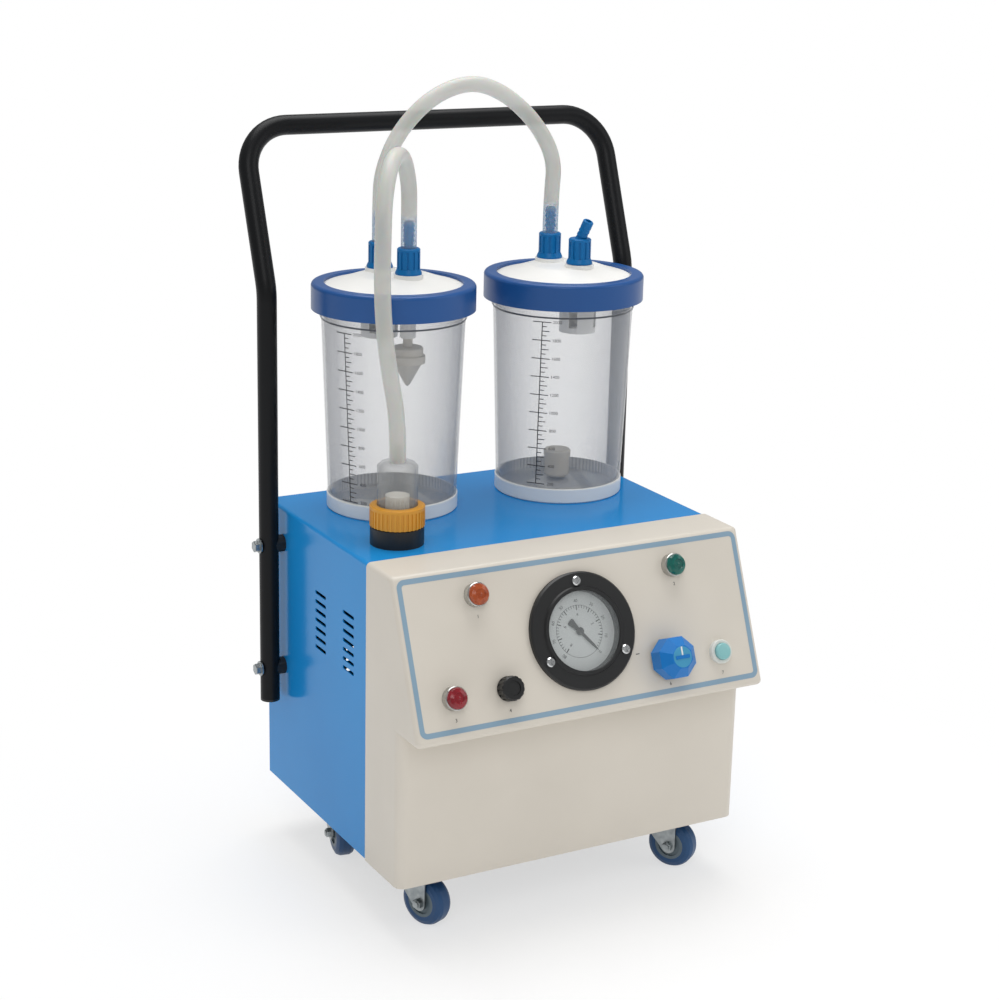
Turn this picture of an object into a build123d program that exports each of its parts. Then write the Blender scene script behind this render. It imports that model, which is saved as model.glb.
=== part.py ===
from build123d import *
import os
from math import atan2, cos, degrees, pi, radians, sin, sqrt, tan

# Portable suction aspirator: a sheet metal cabinet on castors with a moulded front,
# two collection jars, a bacteria filter, a push handle and a rotary vane pump inside.
# Millimetres. +X to the operator's right, +Y to the rear, +Z up, floor at zero.
# The sub-parts are drawn from the seam between cover and front moulding (y = 0 there)
# and shifted at the end, so that the origin is the middle of the footprint.

# Cabinet
cabinet_width = 345.0
cabinet_depth = 218.0
cabinet_height = 275.0
floor_gap = 56.0
sheet = 1.2
cover_bend = 3.0
cover_flange = 14.0
tray_sheet = 2.0
tray_flange = 18.0
panel_clearance = 0.5

# Ventilation slots, on both sides of the cover
vent_rows = 7
vent_pitch = 8.6
vent_length = 23.0
vent_height = 3.4
vent_depths = (38.9, 97.6)
vent_level = 191.0

# Front moulding
moulding_wall = 2.7
panel_reach = 66.0
panel_height = 142.0
lip_reach = 101.6
console_tilt = 22.2
panel_corner = 9.0
moulding_edge = 4.5
tongue_depth = 12.0
tongue_wall = 2.0
lip_margin = 9.0

# Places on the console: (across from the middle, up from the foot of the printed border)
amber_place = (-99.5, 112.0)
green_place = (98.0, 111.0)
red_place = (-135.0, 29.4)
fuse_place = (-83.3, 29.4)
gauge_place = (-3.0, 67.0)
knob_place = (77.5, 30.5)
button_place = (133.2, 28.2)

# Indicator lamps
lamp_bezel_radius = 10.3
lamp_bezel_height = 8.0
lamp_lens_radius = 9.2
lamp_lens_height = 12.6
lamp_seat = 2.0
lamp_barrel_radius = 6.0
lamp_barrel_length = 24.0
panel_hole_clearance = 0.15

# Fuse holder
fuse_cap_radius = 10.7
fuse_cap_height = 11.0
fuse_flutes = 14
fuse_collar_radius = 9.6
fuse_collar_height = 1.6
fuse_barrel_radius = 7.0
fuse_barrel_length = 34.0
fuse_stem_radius = 4.6
fuse_stem_length = 8.0
cartridge_radius = 2.6
cartridge_length = 20.0
moving_gap = 0.35
running_fit = 0.05

# Vacuum gauge
flange_radius = 51.6
flange_height = 5.0
dial_radius = 34.2
gauge_wall = 2.6
gauge_rim_height = 6.6
gauge_barrel_length = 32.0
dial_depth = 3.5
dial_sheet = 1.0
glass_top = 5.6
glass_sheet = 2.0
gauge_screw_circle = 43.5
gauge_screw_count = 3
gauge_screw_head = 4.2
gauge_screw_head_height = 2.2
gauge_screw_shank = 1.7
gauge_screw_length = 11.0
gauge_stem_radius = 6.5
gauge_stem_length = 16.0
needle_zero = -50.0
needle_length = 24.5
needle_tail = 13.0
needle_sheet = 0.6
needle_arbor = 1.2

# Vacuum control
knob_across = 35.6
knob_face_across = 19.5
knob_sides = 8
knob_grip_height = 14.5
knob_total_height = 22.5
knob_collar_radius = 15.0
knob_collar_height = 4.0
spindle_radius = 3.0
spindle_length = 14.0
valve_radius = 9.0
valve_length = 32.0
valve_port_radius = 3.2
valve_port_length = 12.0

# Push button
button_bezel_radius = 10.8
button_bezel_height = 4.6
button_radius = 7.4
button_height = 8.2
button_travel = 2.5
button_stem_radius = 2.0
button_stem_length = 9.0
switch_barrel_radius = 8.6
switch_barrel_length = 22.0

# Push handle
handle_tube = 18.0
handle_wall = 1.5
handle_standoff = 4.9
handle_depth = 182.0
handle_foot = 147.5
handle_knee = 534.0
handle_lean = 53.0
handle_top = 673.0
handle_knee_radius = 45.0
handle_corner_radius = 42.0
bolt_levels = (177.5, 297.5)
bolt_radius = 3.0
bolt_head_radius = 5.4
bolt_head_height = 5.0
washer_radius = 7.0
washer_height = 1.2
plug_length = 9.0
plug_cap = 2.0

# Castors
castor_half_track = 129.0
castor_track_shift = -5.0
castor_front = -17.0
castor_rear = 143.0
castor_plate_size = 50.0
castor_plate_sheet = 2.5
castor_hole_spacing = 37.0
castor_screw_radius = 2.5
castor_screw_head = 4.4
castor_screw_head_height = 2.6
castor_trail = 15.5
wheel_diameter = 45.0
wheel_width = 18.0
wheel_hub_radius = 12.5
wheel_hub_overhang = 0.5
wheel_crown = 5.0
fork_sheet = 2.0
fork_side_gap = 0.35
crown_drop = 6.5
race_radius = 14.5
kingpin_radius = 4.0
kingpin_head_radius = 6.2
kingpin_head_height = 2.0
axle_radius = 3.0
axle_head_radius = 4.8
axle_head_height = 3.0
axle_boss_radius = 7.0
castor_turns = {"fl": 23.0, "fr": 33.0, "rl": -11.5, "rr": 6.0}

# Jars
jar_places = {"left": (-75.5, 152.0), "right": (95.0, 140.0)}
jar_base_radius = 59.5
jar_mouth_radius = 65.5
jar_wall = 2.5
jar_floor = 3.0
foot_height = 14.0
foot_floor = 3.0
foot_wall = 2.4
foot_rim_radius = 60.4
shoulder_level = 178.0
bead_height = 1.6
bead_proud = 1.5
mouth_level = 202.5
seal_height = 1.2
seal_width = 4.5
lid_rim_height = 2.2
lid_rim_radius = 65.2
lid_opening = 62.6
lid_crown_radius = 33.0
lid_rise = 10.0
lid_wall = 2.4
baffle_radius = 17.0
baffle_root = 0.15
baffle_drop = 50.0
baffle_wall = 1.8
port_offset = 21.0
port_turns = {"left": 102.0, "right": 101.0}
port_pad_radius = 13.4
port_pad_height = 5.5
port_hole_radius = 5.5
ring_radius = 74.6
ring_height = 24.0
ring_wall = 2.4
ring_collar_wall = 2.6
ring_top = 2.6
ring_round = 3.5
ring_opening = 63.2

# Hose connectors, barbs and hoses
connector_radius = 10.4
connector_flare = 12.0
connector_height = 23.5
connector_flutes = 12
connector_bore = 2.8
spigot_length = 10.0
barb_root = 4.1
barb_rib = 5.15
barb_pitch = 4.6
barb_ribs = 4
barb_length = 24.0
elbow_lean = 25.0
elbow_turn = -62.0
nozzle_land = 6.5
nozzle_land_lead = 0.5
nozzle_land_radius = 5.0
nozzle_ribs = 3
nozzle_length = 16.0
nozzle_root = 4.5
hose_outer = 7.2
hose_inner = 5.2

# Corners of the jar link hose's route, from its seat on the left jar's rear connector
# up over the arch, then from its seat on the right jar's rear connector
jar_link_steps = (
    (0, 0, 0),
    (0, 0, 31.0),
    (1.0, -0.5, 62.0),
    (16.5, -1.5, 97.0),
    (47.5, -3.5, 127.5),
    (86.0, -5.5, 141.0),
)
jar_link_last_steps = (
    (-51.0, 5.0, 131.0),
    (-18.0, 3.0, 104.0),
    (3.5, 1.0, 68.5),
    (0, 0, 33.0),
    (0, 0, 0),
)

# Corners of the filter hose's route, from its seat on the left jar's front connector
filter_hose_steps = (
    (0, 0, 0),
    (0, 0, 27.0),
    (-0.8, -1.5, 57.5),
    (-16.5, -20.0, 86.5),
    (-42.0, -51.0, 88.0),
    (-59.5, -72.5, 60.5),
    (-64.0, -79.5, 24.5),
    (-65.2, -80.8, -13.5),
    (-63.5, -81.5, -53.5),
    (-59.0, -84.5, -93.0),
)

# Float valve of the left jar and float of the right jar
float_stem_radius = 7.2
float_stem_drop = 45.0
float_pin_radius = 4.3
float_pin_grip = 14.0
float_neck = 8.0
float_tiers = ((14.0, 7.0), (16.0, 7.5))
float_cone_radius = 13.4
float_cone_height = 22.0
float_travel = 6.0
cup_radius = 11.8
cup_cap_radius = 12.9
cup_cap_height = 6.5
cup_height = 26.5
cup_wall = 1.6
cup_offset = (8.0, 15.6)

# Bacteria filter
filter_place = (-123.6, 43.6)
filter_base_radius = 23.8
filter_base_height = 16.5
filter_neck_radius = 20.6
filter_neck_height = 9.0
filter_ring_radius = 24.3
filter_ring_height = 18.5
filter_ring_ribs = 36
filter_dome_radius = 17.9
filter_dome_height = 44.5
filter_dome_wall = 2.0
filter_flange_height = 3.0
filter_element_radius = 10.5
filter_element_height = 26.0
filter_spigot_radius = 5.0
filter_spigot_length = 16.0

# Pump and motor inside the cabinet
drive_depth = 95.0
drive_level = 80.0
motor_radius = 54.0
motor_left = -92.0
motor_right = 22.0
motor_fins = 20
motor_fin_height = 5.0
motor_fin_width = 3.0
motor_wall = 5.0
motor_foot_width = 96.0
motor_foot_height = 10.0
motor_foot_length = 84.0
shaft_radius = 7.0
rotor_core_radius = 30.0
fan_radius = 46.0
fan_blades = 9
fan_width = 14.0
fan_blade_sheet = 1.6
fan_gap = 6.0
pump_radius = 46.0
pump_length = 58.0
pump_bore = 34.0
pump_offset = 4.5
pump_rotor_radius = 29.0
pump_cover_height = 9.0
vane_count = 4
vane_sheet = 4.0
vane_height = 15.0
mount_radius = 11.0
mount_height = 16.0
tubing_outer = 5.0
tubing_inner = 3.0
inlet_place = (118.0, 92.0)
inlet_body = (27.0, 19.5)
inlet_flange = (33.0, 26.0)
inlet_depth = 16.0

# Sizes worked out from the ones above
half_width = cabinet_width / 2
inner_half = half_width - sheet
deck = floor_gap + cabinet_height
moulding_half = inner_half + moulding_wall
moulding_top = deck - sheet + moulding_wall
lip_level = floor_gap + panel_height
tilt = radians(console_tilt)
console_origin_y = -lip_reach + lip_margin * sin(tilt)
console_origin_z = lip_level + lip_margin * cos(tilt)
console = Plane(
    origin=(0, console_origin_y, console_origin_z),
    x_dir=(1, 0, 0),
    z_dir=(0, -cos(tilt), sin(tilt)),
)
knob_base = knob_collar_height + moving_gap
knob_front = knob_base + knob_total_height
foremost = (
    console_origin_y
    + knob_place[1] * sin(tilt)
    - knob_front * cos(tilt)
    - knob_face_across / 2 * sin(tilt)
)
handle_half = half_width + handle_standoff + handle_tube / 2
rearmost = handle_depth + handle_lean + handle_tube / 2
middle_y = (foremost + rearmost) / 2
jar_seat = deck
mouth = jar_seat + mouth_level
lid_seat = mouth + seal_height
ring_underside = lid_seat + lid_rim_height + moving_gap
ring_upper = ring_underside + ring_top
lid_edge = lid_seat + lid_rim_height
lid_crown = lid_edge + lid_rise
port_seat = lid_crown + port_pad_height - lid_wall
barb_top = port_seat + connector_height + barb_length
filter_ring_foot = deck + filter_base_height + moving_gap
filter_dome_foot = deck + filter_base_height + filter_neck_height
filter_dome_top = filter_dome_foot + filter_dome_height + filter_flange_height
drive_height = floor_gap + drive_level
castor_names = ("fl", "fr", "rl", "rr")


def block(x0, x1, y0, y1, z0, z1):
    """A box between two corners."""
    middle = Pos((x0 + x1) / 2, (y0 + y1) / 2, (z0 + z1) / 2)
    return middle * Box(x1 - x0, y1 - y0, z1 - z0)


def rod(radius, low, high):
    """A cylinder about Z from one height to another."""
    return Pos(0, 0, (low + high) / 2) * Cylinder(radius, high - low)


def pipe(outer, inner, low, high):
    """A tube about Z."""
    return rod(outer, low, high) - rod(inner, low - 1, high + 1)


def turned(points):
    """A solid of revolution about Z from (radius, height) corners."""
    return revolve(make_face(Plane.XZ * Polyline(*points, close=True)), Axis.Z)


def around(count, shape, start=0.0):
    """Copies of a shape evenly spaced about Z."""
    return [Rot(0, 0, start + 360 / count * i) * shape for i in range(count)]


def on_console(place, shape):
    """Put a shape that stands on its own Z axis on the tilted console."""
    return console.location * Pos(place[0], place[1], 0) * shape


def console_hole(place, radius):
    """A round hole through the console wall."""
    return on_console(place, rod(radius, -4 * moulding_wall, moulding_wall))


def group(shapes):
    """Several separate solids in one node."""
    return Compound([solid for shape in shapes for solid in shape.solids()])


def along_x(shape):
    """Lay a shape drawn about Z along the X axis."""
    return Rot(0, 90, 0) * shape


# Cabinet


def vent_slots():
    """The rows of ventilation slots that pass through both sides of the cover."""
    straight = vent_length - vent_height
    slot = extrude(Plane.YZ * SlotCenterToCenter(straight, vent_height), amount=cabinet_width, both=True)
    middle = (vent_rows - 1) / 2
    places = [(y, i) for y in vent_depths for i in range(vent_rows)]
    return [Pos(0, y, floor_gap + vent_level + (i - middle) * vent_pitch) * slot for y, i in places]


def cover_bolt_holes():
    """The holes in the sides of the cover for the handle's bolts."""
    hole = along_x(rod(bolt_radius + panel_hole_clearance, -cabinet_width, cabinet_width))
    return [Pos(0, handle_depth, level) * hole for level in bolt_levels]


def make_cabinet_cover():
    """Folded top and sides of the cabinet, with a turned-in flange at the rear."""
    outer = block(-half_width, half_width, 0, cabinet_depth, floor_gap, deck)
    outer = fillet(outer.edges().filter_by(Axis.Y).group_by(Axis.Z)[-1], cover_bend)
    inner = block(-inner_half, inner_half, -1, cabinet_depth + 1, floor_gap - 1, deck - sheet)
    inner = fillet(inner.edges().filter_by(Axis.Y).group_by(Axis.Z)[-1], cover_bend - sheet)
    flange_low = floor_gap + tray_flange + 1
    back = block(-inner_half, inner_half, cabinet_depth - 2 * sheet, cabinet_depth - sheet, flange_low, deck - sheet)
    opening = block(
        cover_flange - inner_half,
        inner_half - cover_flange,
        0,
        cabinet_depth + 1,
        floor_gap,
        deck - sheet - cover_flange,
    )
    cover = (outer - inner) + (back - opening)
    cover -= vent_slots()
    cover -= cover_bolt_holes()
    cover -= Pos(*filter_place, 0) * rod(filter_spigot_radius + panel_hole_clearance, deck - 5, deck + 5)
    cover -= rear_screw_holes()
    return cover


def rear_screw_places():
    """Where the rear panel is screwed to the flange of the cover and of the tray."""
    x = inner_half - cover_flange / 2
    top = deck - sheet - cover_flange / 2
    low = floor_gap + tray_sheet + tray_flange / 2
    mid = (top + low) / 2
    return [(-x, top), (x, top), (-x, mid), (x, mid), (-x / 2, low), (x / 2, low), (0, top)]


def rear_screw_holes():
    """Clearance holes for the rear panel's screws."""
    hole = Rot(90, 0, 0) * Cylinder(1.9, 12)
    return [Pos(x, cabinet_depth, z) * hole for x, z in rear_screw_places()]


def make_rear_panel():
    """Flat rear panel with rows of slots and a cut-out for the mains inlet."""
    half = inner_half - panel_clearance
    plate = block(-half, half, cabinet_depth - sheet, cabinet_depth, floor_gap + 1, deck - sheet - panel_clearance)
    straight = 44.0 - vent_height
    slot = extrude(Plane.XZ * SlotCenterToCenter(straight, vent_height), amount=20, both=True)
    middle = (vent_rows - 1) / 2
    for x in (-70.0, -15.0):
        for i in range(vent_rows):
            level = floor_gap + drive_level + (i - middle) * 1.25 * vent_pitch
            plate -= Pos(x, cabinet_depth, level) * slot
    x, z = inlet_place
    w, h = inlet_body
    plate -= block(x - w / 2, x + w / 2, cabinet_depth - 10, cabinet_depth + 10, z - h / 2, z + h / 2)
    plate -= rear_screw_holes()
    return plate


def make_base_tray():
    """Chassis tray with flanges turned up on all four sides."""
    front = moulding_wall - panel_reach
    rear = cabinet_depth - sheet
    tray = block(-inner_half, inner_half, front, rear, floor_gap, floor_gap + tray_flange)
    tray -= block(
        tray_sheet - inner_half,
        inner_half - tray_sheet,
        front + tray_sheet,
        rear - tray_sheet,
        floor_gap + tray_sheet,
        floor_gap + tray_flange + 1,
    )
    corner = panel_corner - moulding_wall
    tray = fillet(tray.edges().filter_by(Axis.Z).group_by(Axis.Y)[0], corner)
    hole = rod(castor_screw_radius + panel_hole_clearance, floor_gap - 1, floor_gap + tray_sheet + 1)
    tray -= [Pos(x, y, 0) * hole for x, y in castor_screw_places()]
    tray -= rear_screw_holes()
    return tray


def moulding_profile(inset, rear, low):
    """Side view of the front moulding, or of its hollow when inset by the wall."""
    lean = tan(tilt)

    def face(level):
        return -lip_reach + (level - lip_level) * lean + inset / cos(tilt)

    high = moulding_top - inset
    ledge = lip_level + inset
    back = inset - panel_reach
    points = [(rear, high), (face(high), high), (face(ledge), ledge), (back, ledge), (back, low), (rear, low)]
    return make_face(Plane.YZ * Polyline(*points, close=True))


def rounded_moulding(inset, rear, low):
    """The moulding's outer form, or its hollow, with rounded edges."""
    half = moulding_half - inset
    body = extrude(moulding_profile(inset, rear, low), amount=half, both=True)
    upright = body.edges().filter_by(Axis.Z).filter_by(lambda e: e.center().Y < -1)
    body = fillet(upright, panel_corner - inset)
    ledge = lip_level + inset
    back = inset - panel_reach

    def is_outer(edge):
        place = edge.center()
        inner_corner = abs(place.X) < 1 and abs(place.Y - back) < 0.1
        straight = edge.geom_type == GeomType.LINE
        return straight and place.Y < -0.5 and place.Z > ledge - 0.1 and not inner_corner

    return fillet(body.edges().filter_by(is_outer), moulding_edge - inset)


def moulding_tongue():
    """The stepped tongue that slips inside the cover."""
    low = floor_gap + tray_flange + 1
    high = deck - sheet
    outer = block(-inner_half, inner_half, -tongue_depth / 2, tongue_depth, low, high)
    outer = fillet(outer.edges().filter_by(Axis.Y).group_by(Axis.Z)[-1], cover_bend)
    inner = block(
        tongue_wall - inner_half,
        inner_half - tongue_wall,
        -tongue_depth,
        2 * tongue_depth,
        low - 1,
        high - tongue_wall,
    )
    return outer - inner


def make_front_moulding():
    """Moulded front: tilted console above, overhanging lip and plain lower panel."""
    body = rounded_moulding(0, 0, floor_gap) - rounded_moulding(moulding_wall, 1, floor_gap - 1)
    body += moulding_tongue()
    lamp_hole = lamp_barrel_radius + panel_hole_clearance
    for place in (amber_place, green_place, red_place):
        body -= console_hole(place, lamp_hole)
    body -= console_hole(fuse_place, fuse_barrel_radius + panel_hole_clearance)
    body -= console_hole(gauge_place, dial_radius + gauge_wall + panel_hole_clearance)
    body -= console_hole(knob_place, valve_radius + panel_hole_clearance)
    body -= console_hole(button_place, switch_barrel_radius + panel_hole_clearance)
    for x, y in gauge_screw_places():
        body -= console_hole((x, y), gauge_screw_shank)
    return body


def make_cabinet_screws():
    """The pan head screws of the rear panel."""
    head = rod(3.6, 0, 2.2)
    head = chamfer(head.edges().group_by(Axis.Z)[-1], 0.9)
    screw = head + rod(1.75, -8, 0)
    screw -= block(-2.2, 2.2, -0.4, 0.4, 1.2, 3) + block(-0.4, 0.4, -2.2, 2.2, 1.2, 3)
    screw = Rot(-90, 0, 0) * screw
    return group([Pos(x, cabinet_depth, z) * screw for x, z in rear_screw_places()])


def make_power_inlet():
    """Three-pin mains inlet in the rear panel."""
    x, z = inlet_place
    w, h = inlet_body
    fw, fh = inlet_flange
    face = cabinet_depth
    flange = block(x - fw / 2, x + fw / 2, face, face + 2.5, z - fh / 2, z + fh / 2)
    flange = fillet(flange.edges().filter_by(Axis.Y), 3)
    gap = panel_clearance / 2
    body = block(x - w / 2 + gap, x + w / 2 - gap, face - inlet_depth, face + 1, z - h / 2 + gap, z + h / 2 - gap)
    well = block(x - w / 2 + 2.5, x + w / 2 - 2.5, face - inlet_depth + 3, face + 5, z - h / 2 + 2.5, z + h / 2 - 2.5)
    inlet = flange + body - well
    for dx, dz in ((-7.0, -1.5), (0.0, 2.0), (7.0, -1.5)):
        inlet += block(x + dx - 1, x + dx + 1, face - inlet_depth + 1, face - 3, z + dz - 2, z + dz + 2)
    return inlet


# Console fittings


def make_lamp_bezels():
    """Three metal lamp bodies: a cup in front of the panel, a barrel and a nut behind it."""
    cup = pipe(lamp_bezel_radius, lamp_lens_radius, 0, lamp_bezel_height)
    cup = chamfer(cup.edges().group_by(Axis.Z)[-1].sort_by(SortBy.RADIUS)[-1], 0.6)
    cup += rod(lamp_bezel_radius, 0, lamp_seat)
    cup += rod(lamp_barrel_radius, -moulding_wall - lamp_barrel_length, 0)
    nut = extrude(RegularPolygon(lamp_barrel_radius + 3.0, 6), amount=4.0)
    cup += Pos(0, 0, -moulding_wall - 4.0) * nut
    return group([on_console(place, cup) for place in (amber_place, green_place, red_place)])


def make_lamp_lens(place):
    """Domed lens with concentric steps, seated in its bezel."""
    r = lamp_lens_radius
    top = lamp_lens_height
    rim = lamp_bezel_height + 1.4
    points = [
        (0, lamp_seat),
        (r, lamp_seat),
        (r, rim),
        (r * 0.86, top - 1.2),
        (r * 0.52, top),
        (r * 0.46, top - 0.7),
        (r * 0.2, top - 0.7),
        (0, top - 0.2),
    ]
    return on_console(place, turned(points))


def make_fuse_holder():
    """Fuse holder body: collar in front, barrel with its nut behind the console."""
    behind = moulding_wall + fuse_barrel_length
    body = rod(fuse_collar_radius, 0, fuse_collar_height) + rod(fuse_barrel_radius, -behind, 0)
    body += Pos(0, 0, -moulding_wall - 4) * extrude(RegularPolygon(fuse_barrel_radius + 3.5, 6), amount=4)
    deep = fuse_stem_length + cartridge_length + 4
    body -= rod(fuse_stem_radius + running_fit, -deep, fuse_collar_height + 1)
    return on_console(fuse_place, body)


def make_fuse_cap():
    """Fluted cap of the fuse holder with its bayonet stem."""
    low = fuse_collar_height + moving_gap
    high = low + fuse_cap_height
    cap = rod(fuse_cap_radius, low, high)
    cap = chamfer(cap.edges().group_by(Axis.Z)[-1], 1.2)
    flute = Pos(fuse_cap_radius + 0.9, 0, 0) * rod(1.6, low + 1.0, high + 1)
    cap -= around(fuse_flutes, flute)
    cap -= rod(fuse_cap_radius - 4.2, high - 0.8, high + 1)
    cap += rod(fuse_stem_radius, low - fuse_stem_length, low + 1)
    cap -= rod(cartridge_radius, low - fuse_stem_length - 1, low - fuse_stem_length + 5)
    return on_console(fuse_place, cap)


def make_fuse_cartridge():
    """Glass fuse with two metal end caps, gripped by the cap's stem."""
    top = fuse_collar_height + moving_gap - fuse_stem_length + 5
    ends = cartridge_length * 0.25
    body = rod(cartridge_radius, top - ends, top)
    body += rod(cartridge_radius - 0.3, top - cartridge_length + ends, top - ends)
    body += rod(cartridge_radius, top - cartridge_length, top - cartridge_length + ends)
    return on_console(fuse_place, body)


def gauge_screw_places():
    """Console places of the gauge's screws."""
    x, y = gauge_place
    turns = [radians(90 + 360 / gauge_screw_count * i) for i in range(gauge_screw_count)]
    return [(x + gauge_screw_circle * cos(t), y + gauge_screw_circle * sin(t)) for t in turns]


def make_gauge_case():
    """Gauge case: wide front flange, raised rim, barrel and rear pressure stem."""
    r_in = dial_radius + 0.6
    barrel = dial_radius + gauge_wall
    back = -moulding_wall - gauge_barrel_length
    floor = -dial_depth - dial_sheet
    points = [
        (0, back),
        (barrel, back),
        (barrel, 0),
        (flange_radius, 0),
        (flange_radius, flange_height - 1.5),
        (flange_radius - 1.5, flange_height),
        (barrel + 2.4, flange_height),
        (barrel + 1.2, gauge_rim_height),
        (r_in + 0.6, gauge_rim_height),
        (r_in, gauge_rim_height - 0.8),
        (r_in, floor),
        (r_in - 4, floor),
        (r_in - 4, back + 3),
        (0, back + 3),
    ]
    case = turned(points)
    case += rod(gauge_stem_radius, back - gauge_stem_length, back)
    case += extrude(Pos(0, 0, back - 8) * RegularPolygon(9, 6), amount=8)
    case += rod(5, back + 2, floor - 0.4)
    case -= rod(needle_arbor + running_fit, floor - 8, floor + 1)
    x, y = gauge_place
    for sx, sy in gauge_screw_places():
        case -= Pos(sx - x, sy - y, 0) * rod(gauge_screw_shank, -1, flange_height + 1)
    return on_console(gauge_place, case)


def make_gauge_dial():
    """Dial plate, seated on the ledge inside the case."""
    floor = -dial_depth - dial_sheet
    plate = pipe(dial_radius + 0.6, needle_arbor + running_fit, floor, floor + dial_sheet)
    return on_console(gauge_place, plate)


def make_gauge_glass():
    """Flat glass in the raised rim."""
    return on_console(gauge_place, rod(dial_radius + 0.6, glass_top - glass_sheet, glass_top))


def make_gauge_needle():
    """Pointer with a broad tail, a hub and its arbor; it rests at zero."""
    low = -dial_depth + 0.8
    high = low + needle_sheet
    outline = [
        (-needle_tail, -2.6),
        (-needle_tail + 1.4, -3.4),
        (-2.5, -1.5),
        (needle_length * 0.7, -1.1),
        (needle_length, 0),
        (needle_length * 0.7, 1.1),
        (-2.5, 1.5),
        (-needle_tail + 1.4, 3.4),
        (-needle_tail, 2.6),
    ]
    pointer = extrude(Pos(0, 0, low) * make_face(Polyline(*outline, close=True)), amount=needle_sheet)
    pointer += rod(3.4, low, high + 0.9)
    pointer += rod(needle_arbor, -dial_depth - dial_sheet - 6, high)
    return on_console(gauge_place, Rot(0, 0, needle_zero) * pointer)


def make_gauge_screws():
    """Pan head screws of the gauge flange."""
    head = rod(gauge_screw_head, flange_height, flange_height + gauge_screw_head_height)
    head = chamfer(head.edges().group_by(Axis.Z)[-1], 0.9)
    top = flange_height + gauge_screw_head_height
    cross = block(-2.6, 2.6, -0.5, 0.5, top - 1.1, top + 1) + block(-0.5, 0.5, -2.6, 2.6, top - 1.1, top + 1)
    screw = head - cross + rod(gauge_screw_shank, flange_height - gauge_screw_length, flange_height)
    return group([on_console(place, screw) for place in gauge_screw_places()])


def make_regulator_valve():
    """Vacuum regulating valve: collar in front, body, nut and side ports behind."""
    behind = moulding_wall + valve_length
    body = rod(knob_collar_radius, 0, knob_collar_height)
    body = chamfer(body.edges().group_by(Axis.Z)[-1], 0.8)
    body += rod(valve_radius, -behind, 0)
    body += Pos(0, 0, -moulding_wall - 5) * extrude(RegularPolygon(valve_radius + 4, 6), amount=5)
    port = pipe(valve_port_radius, 1.4, valve_radius - 1, valve_radius + valve_port_length)
    body += Pos(0, 0, 6 - behind) * along_x(port)
    body += Pos(0, 0, 6 - behind) * along_x(Rot(180, 0, 0) * port)
    body -= rod(spindle_radius + running_fit, knob_collar_height - spindle_length - 2, knob_collar_height + 1)
    return on_console(knob_place, body)


def octagon(across):
    """The knob's many-sided section by the width across its flats, with a flat at the bottom."""
    return Rot(0, 0, 180 / knob_sides) * RegularPolygon(across / 2, knob_sides, major_radius=False)


def make_control_knob():
    """Eight-sided knob with bevelled shoulders and a pointer bar, on its spindle."""
    shoulder = knob_base + knob_grip_height
    grip = extrude(Pos(0, 0, knob_base) * octagon(knob_across), amount=knob_grip_height)
    lower = Pos(0, 0, shoulder) * octagon(knob_across)
    upper = Pos(0, 0, knob_front) * octagon(knob_face_across)
    knob = grip + loft([lower, upper])
    knob += block(-knob_face_across * 0.36, knob_face_across * 0.36, -1.5, 1.5, knob_front - 1, knob_front + 0.9)
    knob += rod(spindle_radius, knob_base - spindle_length, knob_base + 1)
    return on_console(knob_place, knob)


def make_switch_body():
    """Push switch: pale bezel ring in front, barrel and nut behind the console."""
    behind = moulding_wall + switch_barrel_length
    floor = button_floor() - button_travel - 1
    body = rod(button_bezel_radius, 0, button_bezel_height)
    body = fillet(body.edges().group_by(Axis.Z)[-1], 1.2)
    body += rod(switch_barrel_radius, -behind, 0)
    body += Pos(0, 0, -moulding_wall - 4) * extrude(RegularPolygon(switch_barrel_radius + 3, 6), amount=4)
    body -= rod(button_radius + moving_gap, floor, button_bezel_height + 1)
    body -= rod(button_stem_radius + running_fit, button_floor() - button_stem_length - button_travel - 1, 0)
    return on_console(button_place, body)


def button_floor():
    """Height of the underside of the button's head."""
    return button_bezel_height - 3.6


def make_push_button():
    """Push button with a slightly domed face and a guide stem."""
    low = button_floor()
    head = turned([
        (0, low),
        (button_radius, low),
        (button_radius, button_height - 1.2),
        (button_radius - 1.0, button_height - 0.3),
        (button_radius * 0.5, button_height),
        (0, button_height),
    ])
    head += rod(button_stem_radius, low - button_stem_length, low + 1)
    return on_console(button_place, head)


# Push handle


def handle_route():
    """Centre line of the handle from one foot to the other."""
    rear = handle_depth + handle_lean
    corners = [
        (-handle_half, handle_depth, handle_foot),
        (-handle_half, handle_depth, handle_knee),
        (-handle_half, rear, handle_top),
        (handle_half, rear, handle_top),
        (handle_half, handle_depth, handle_knee),
        (handle_half, handle_depth, handle_foot),
    ]
    radii = [handle_knee_radius, handle_corner_radius, handle_corner_radius, handle_knee_radius]
    return FilletPolyline(*corners, radius=radii)


def make_handle():
    """Bent steel tube handle with the cross holes for its four bolts."""
    route = handle_route()
    section = Circle(handle_tube / 2) - Circle(handle_tube / 2 - handle_wall)
    tube = sweep(Plane(route @ 0, z_dir=route % 0) * section, path=route)
    hole = along_x(rod(bolt_radius + panel_hole_clearance, -2 * cabinet_width, 2 * cabinet_width))
    tube -= [Pos(0, handle_depth, level) * hole for level in bolt_levels]
    return tube


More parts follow.
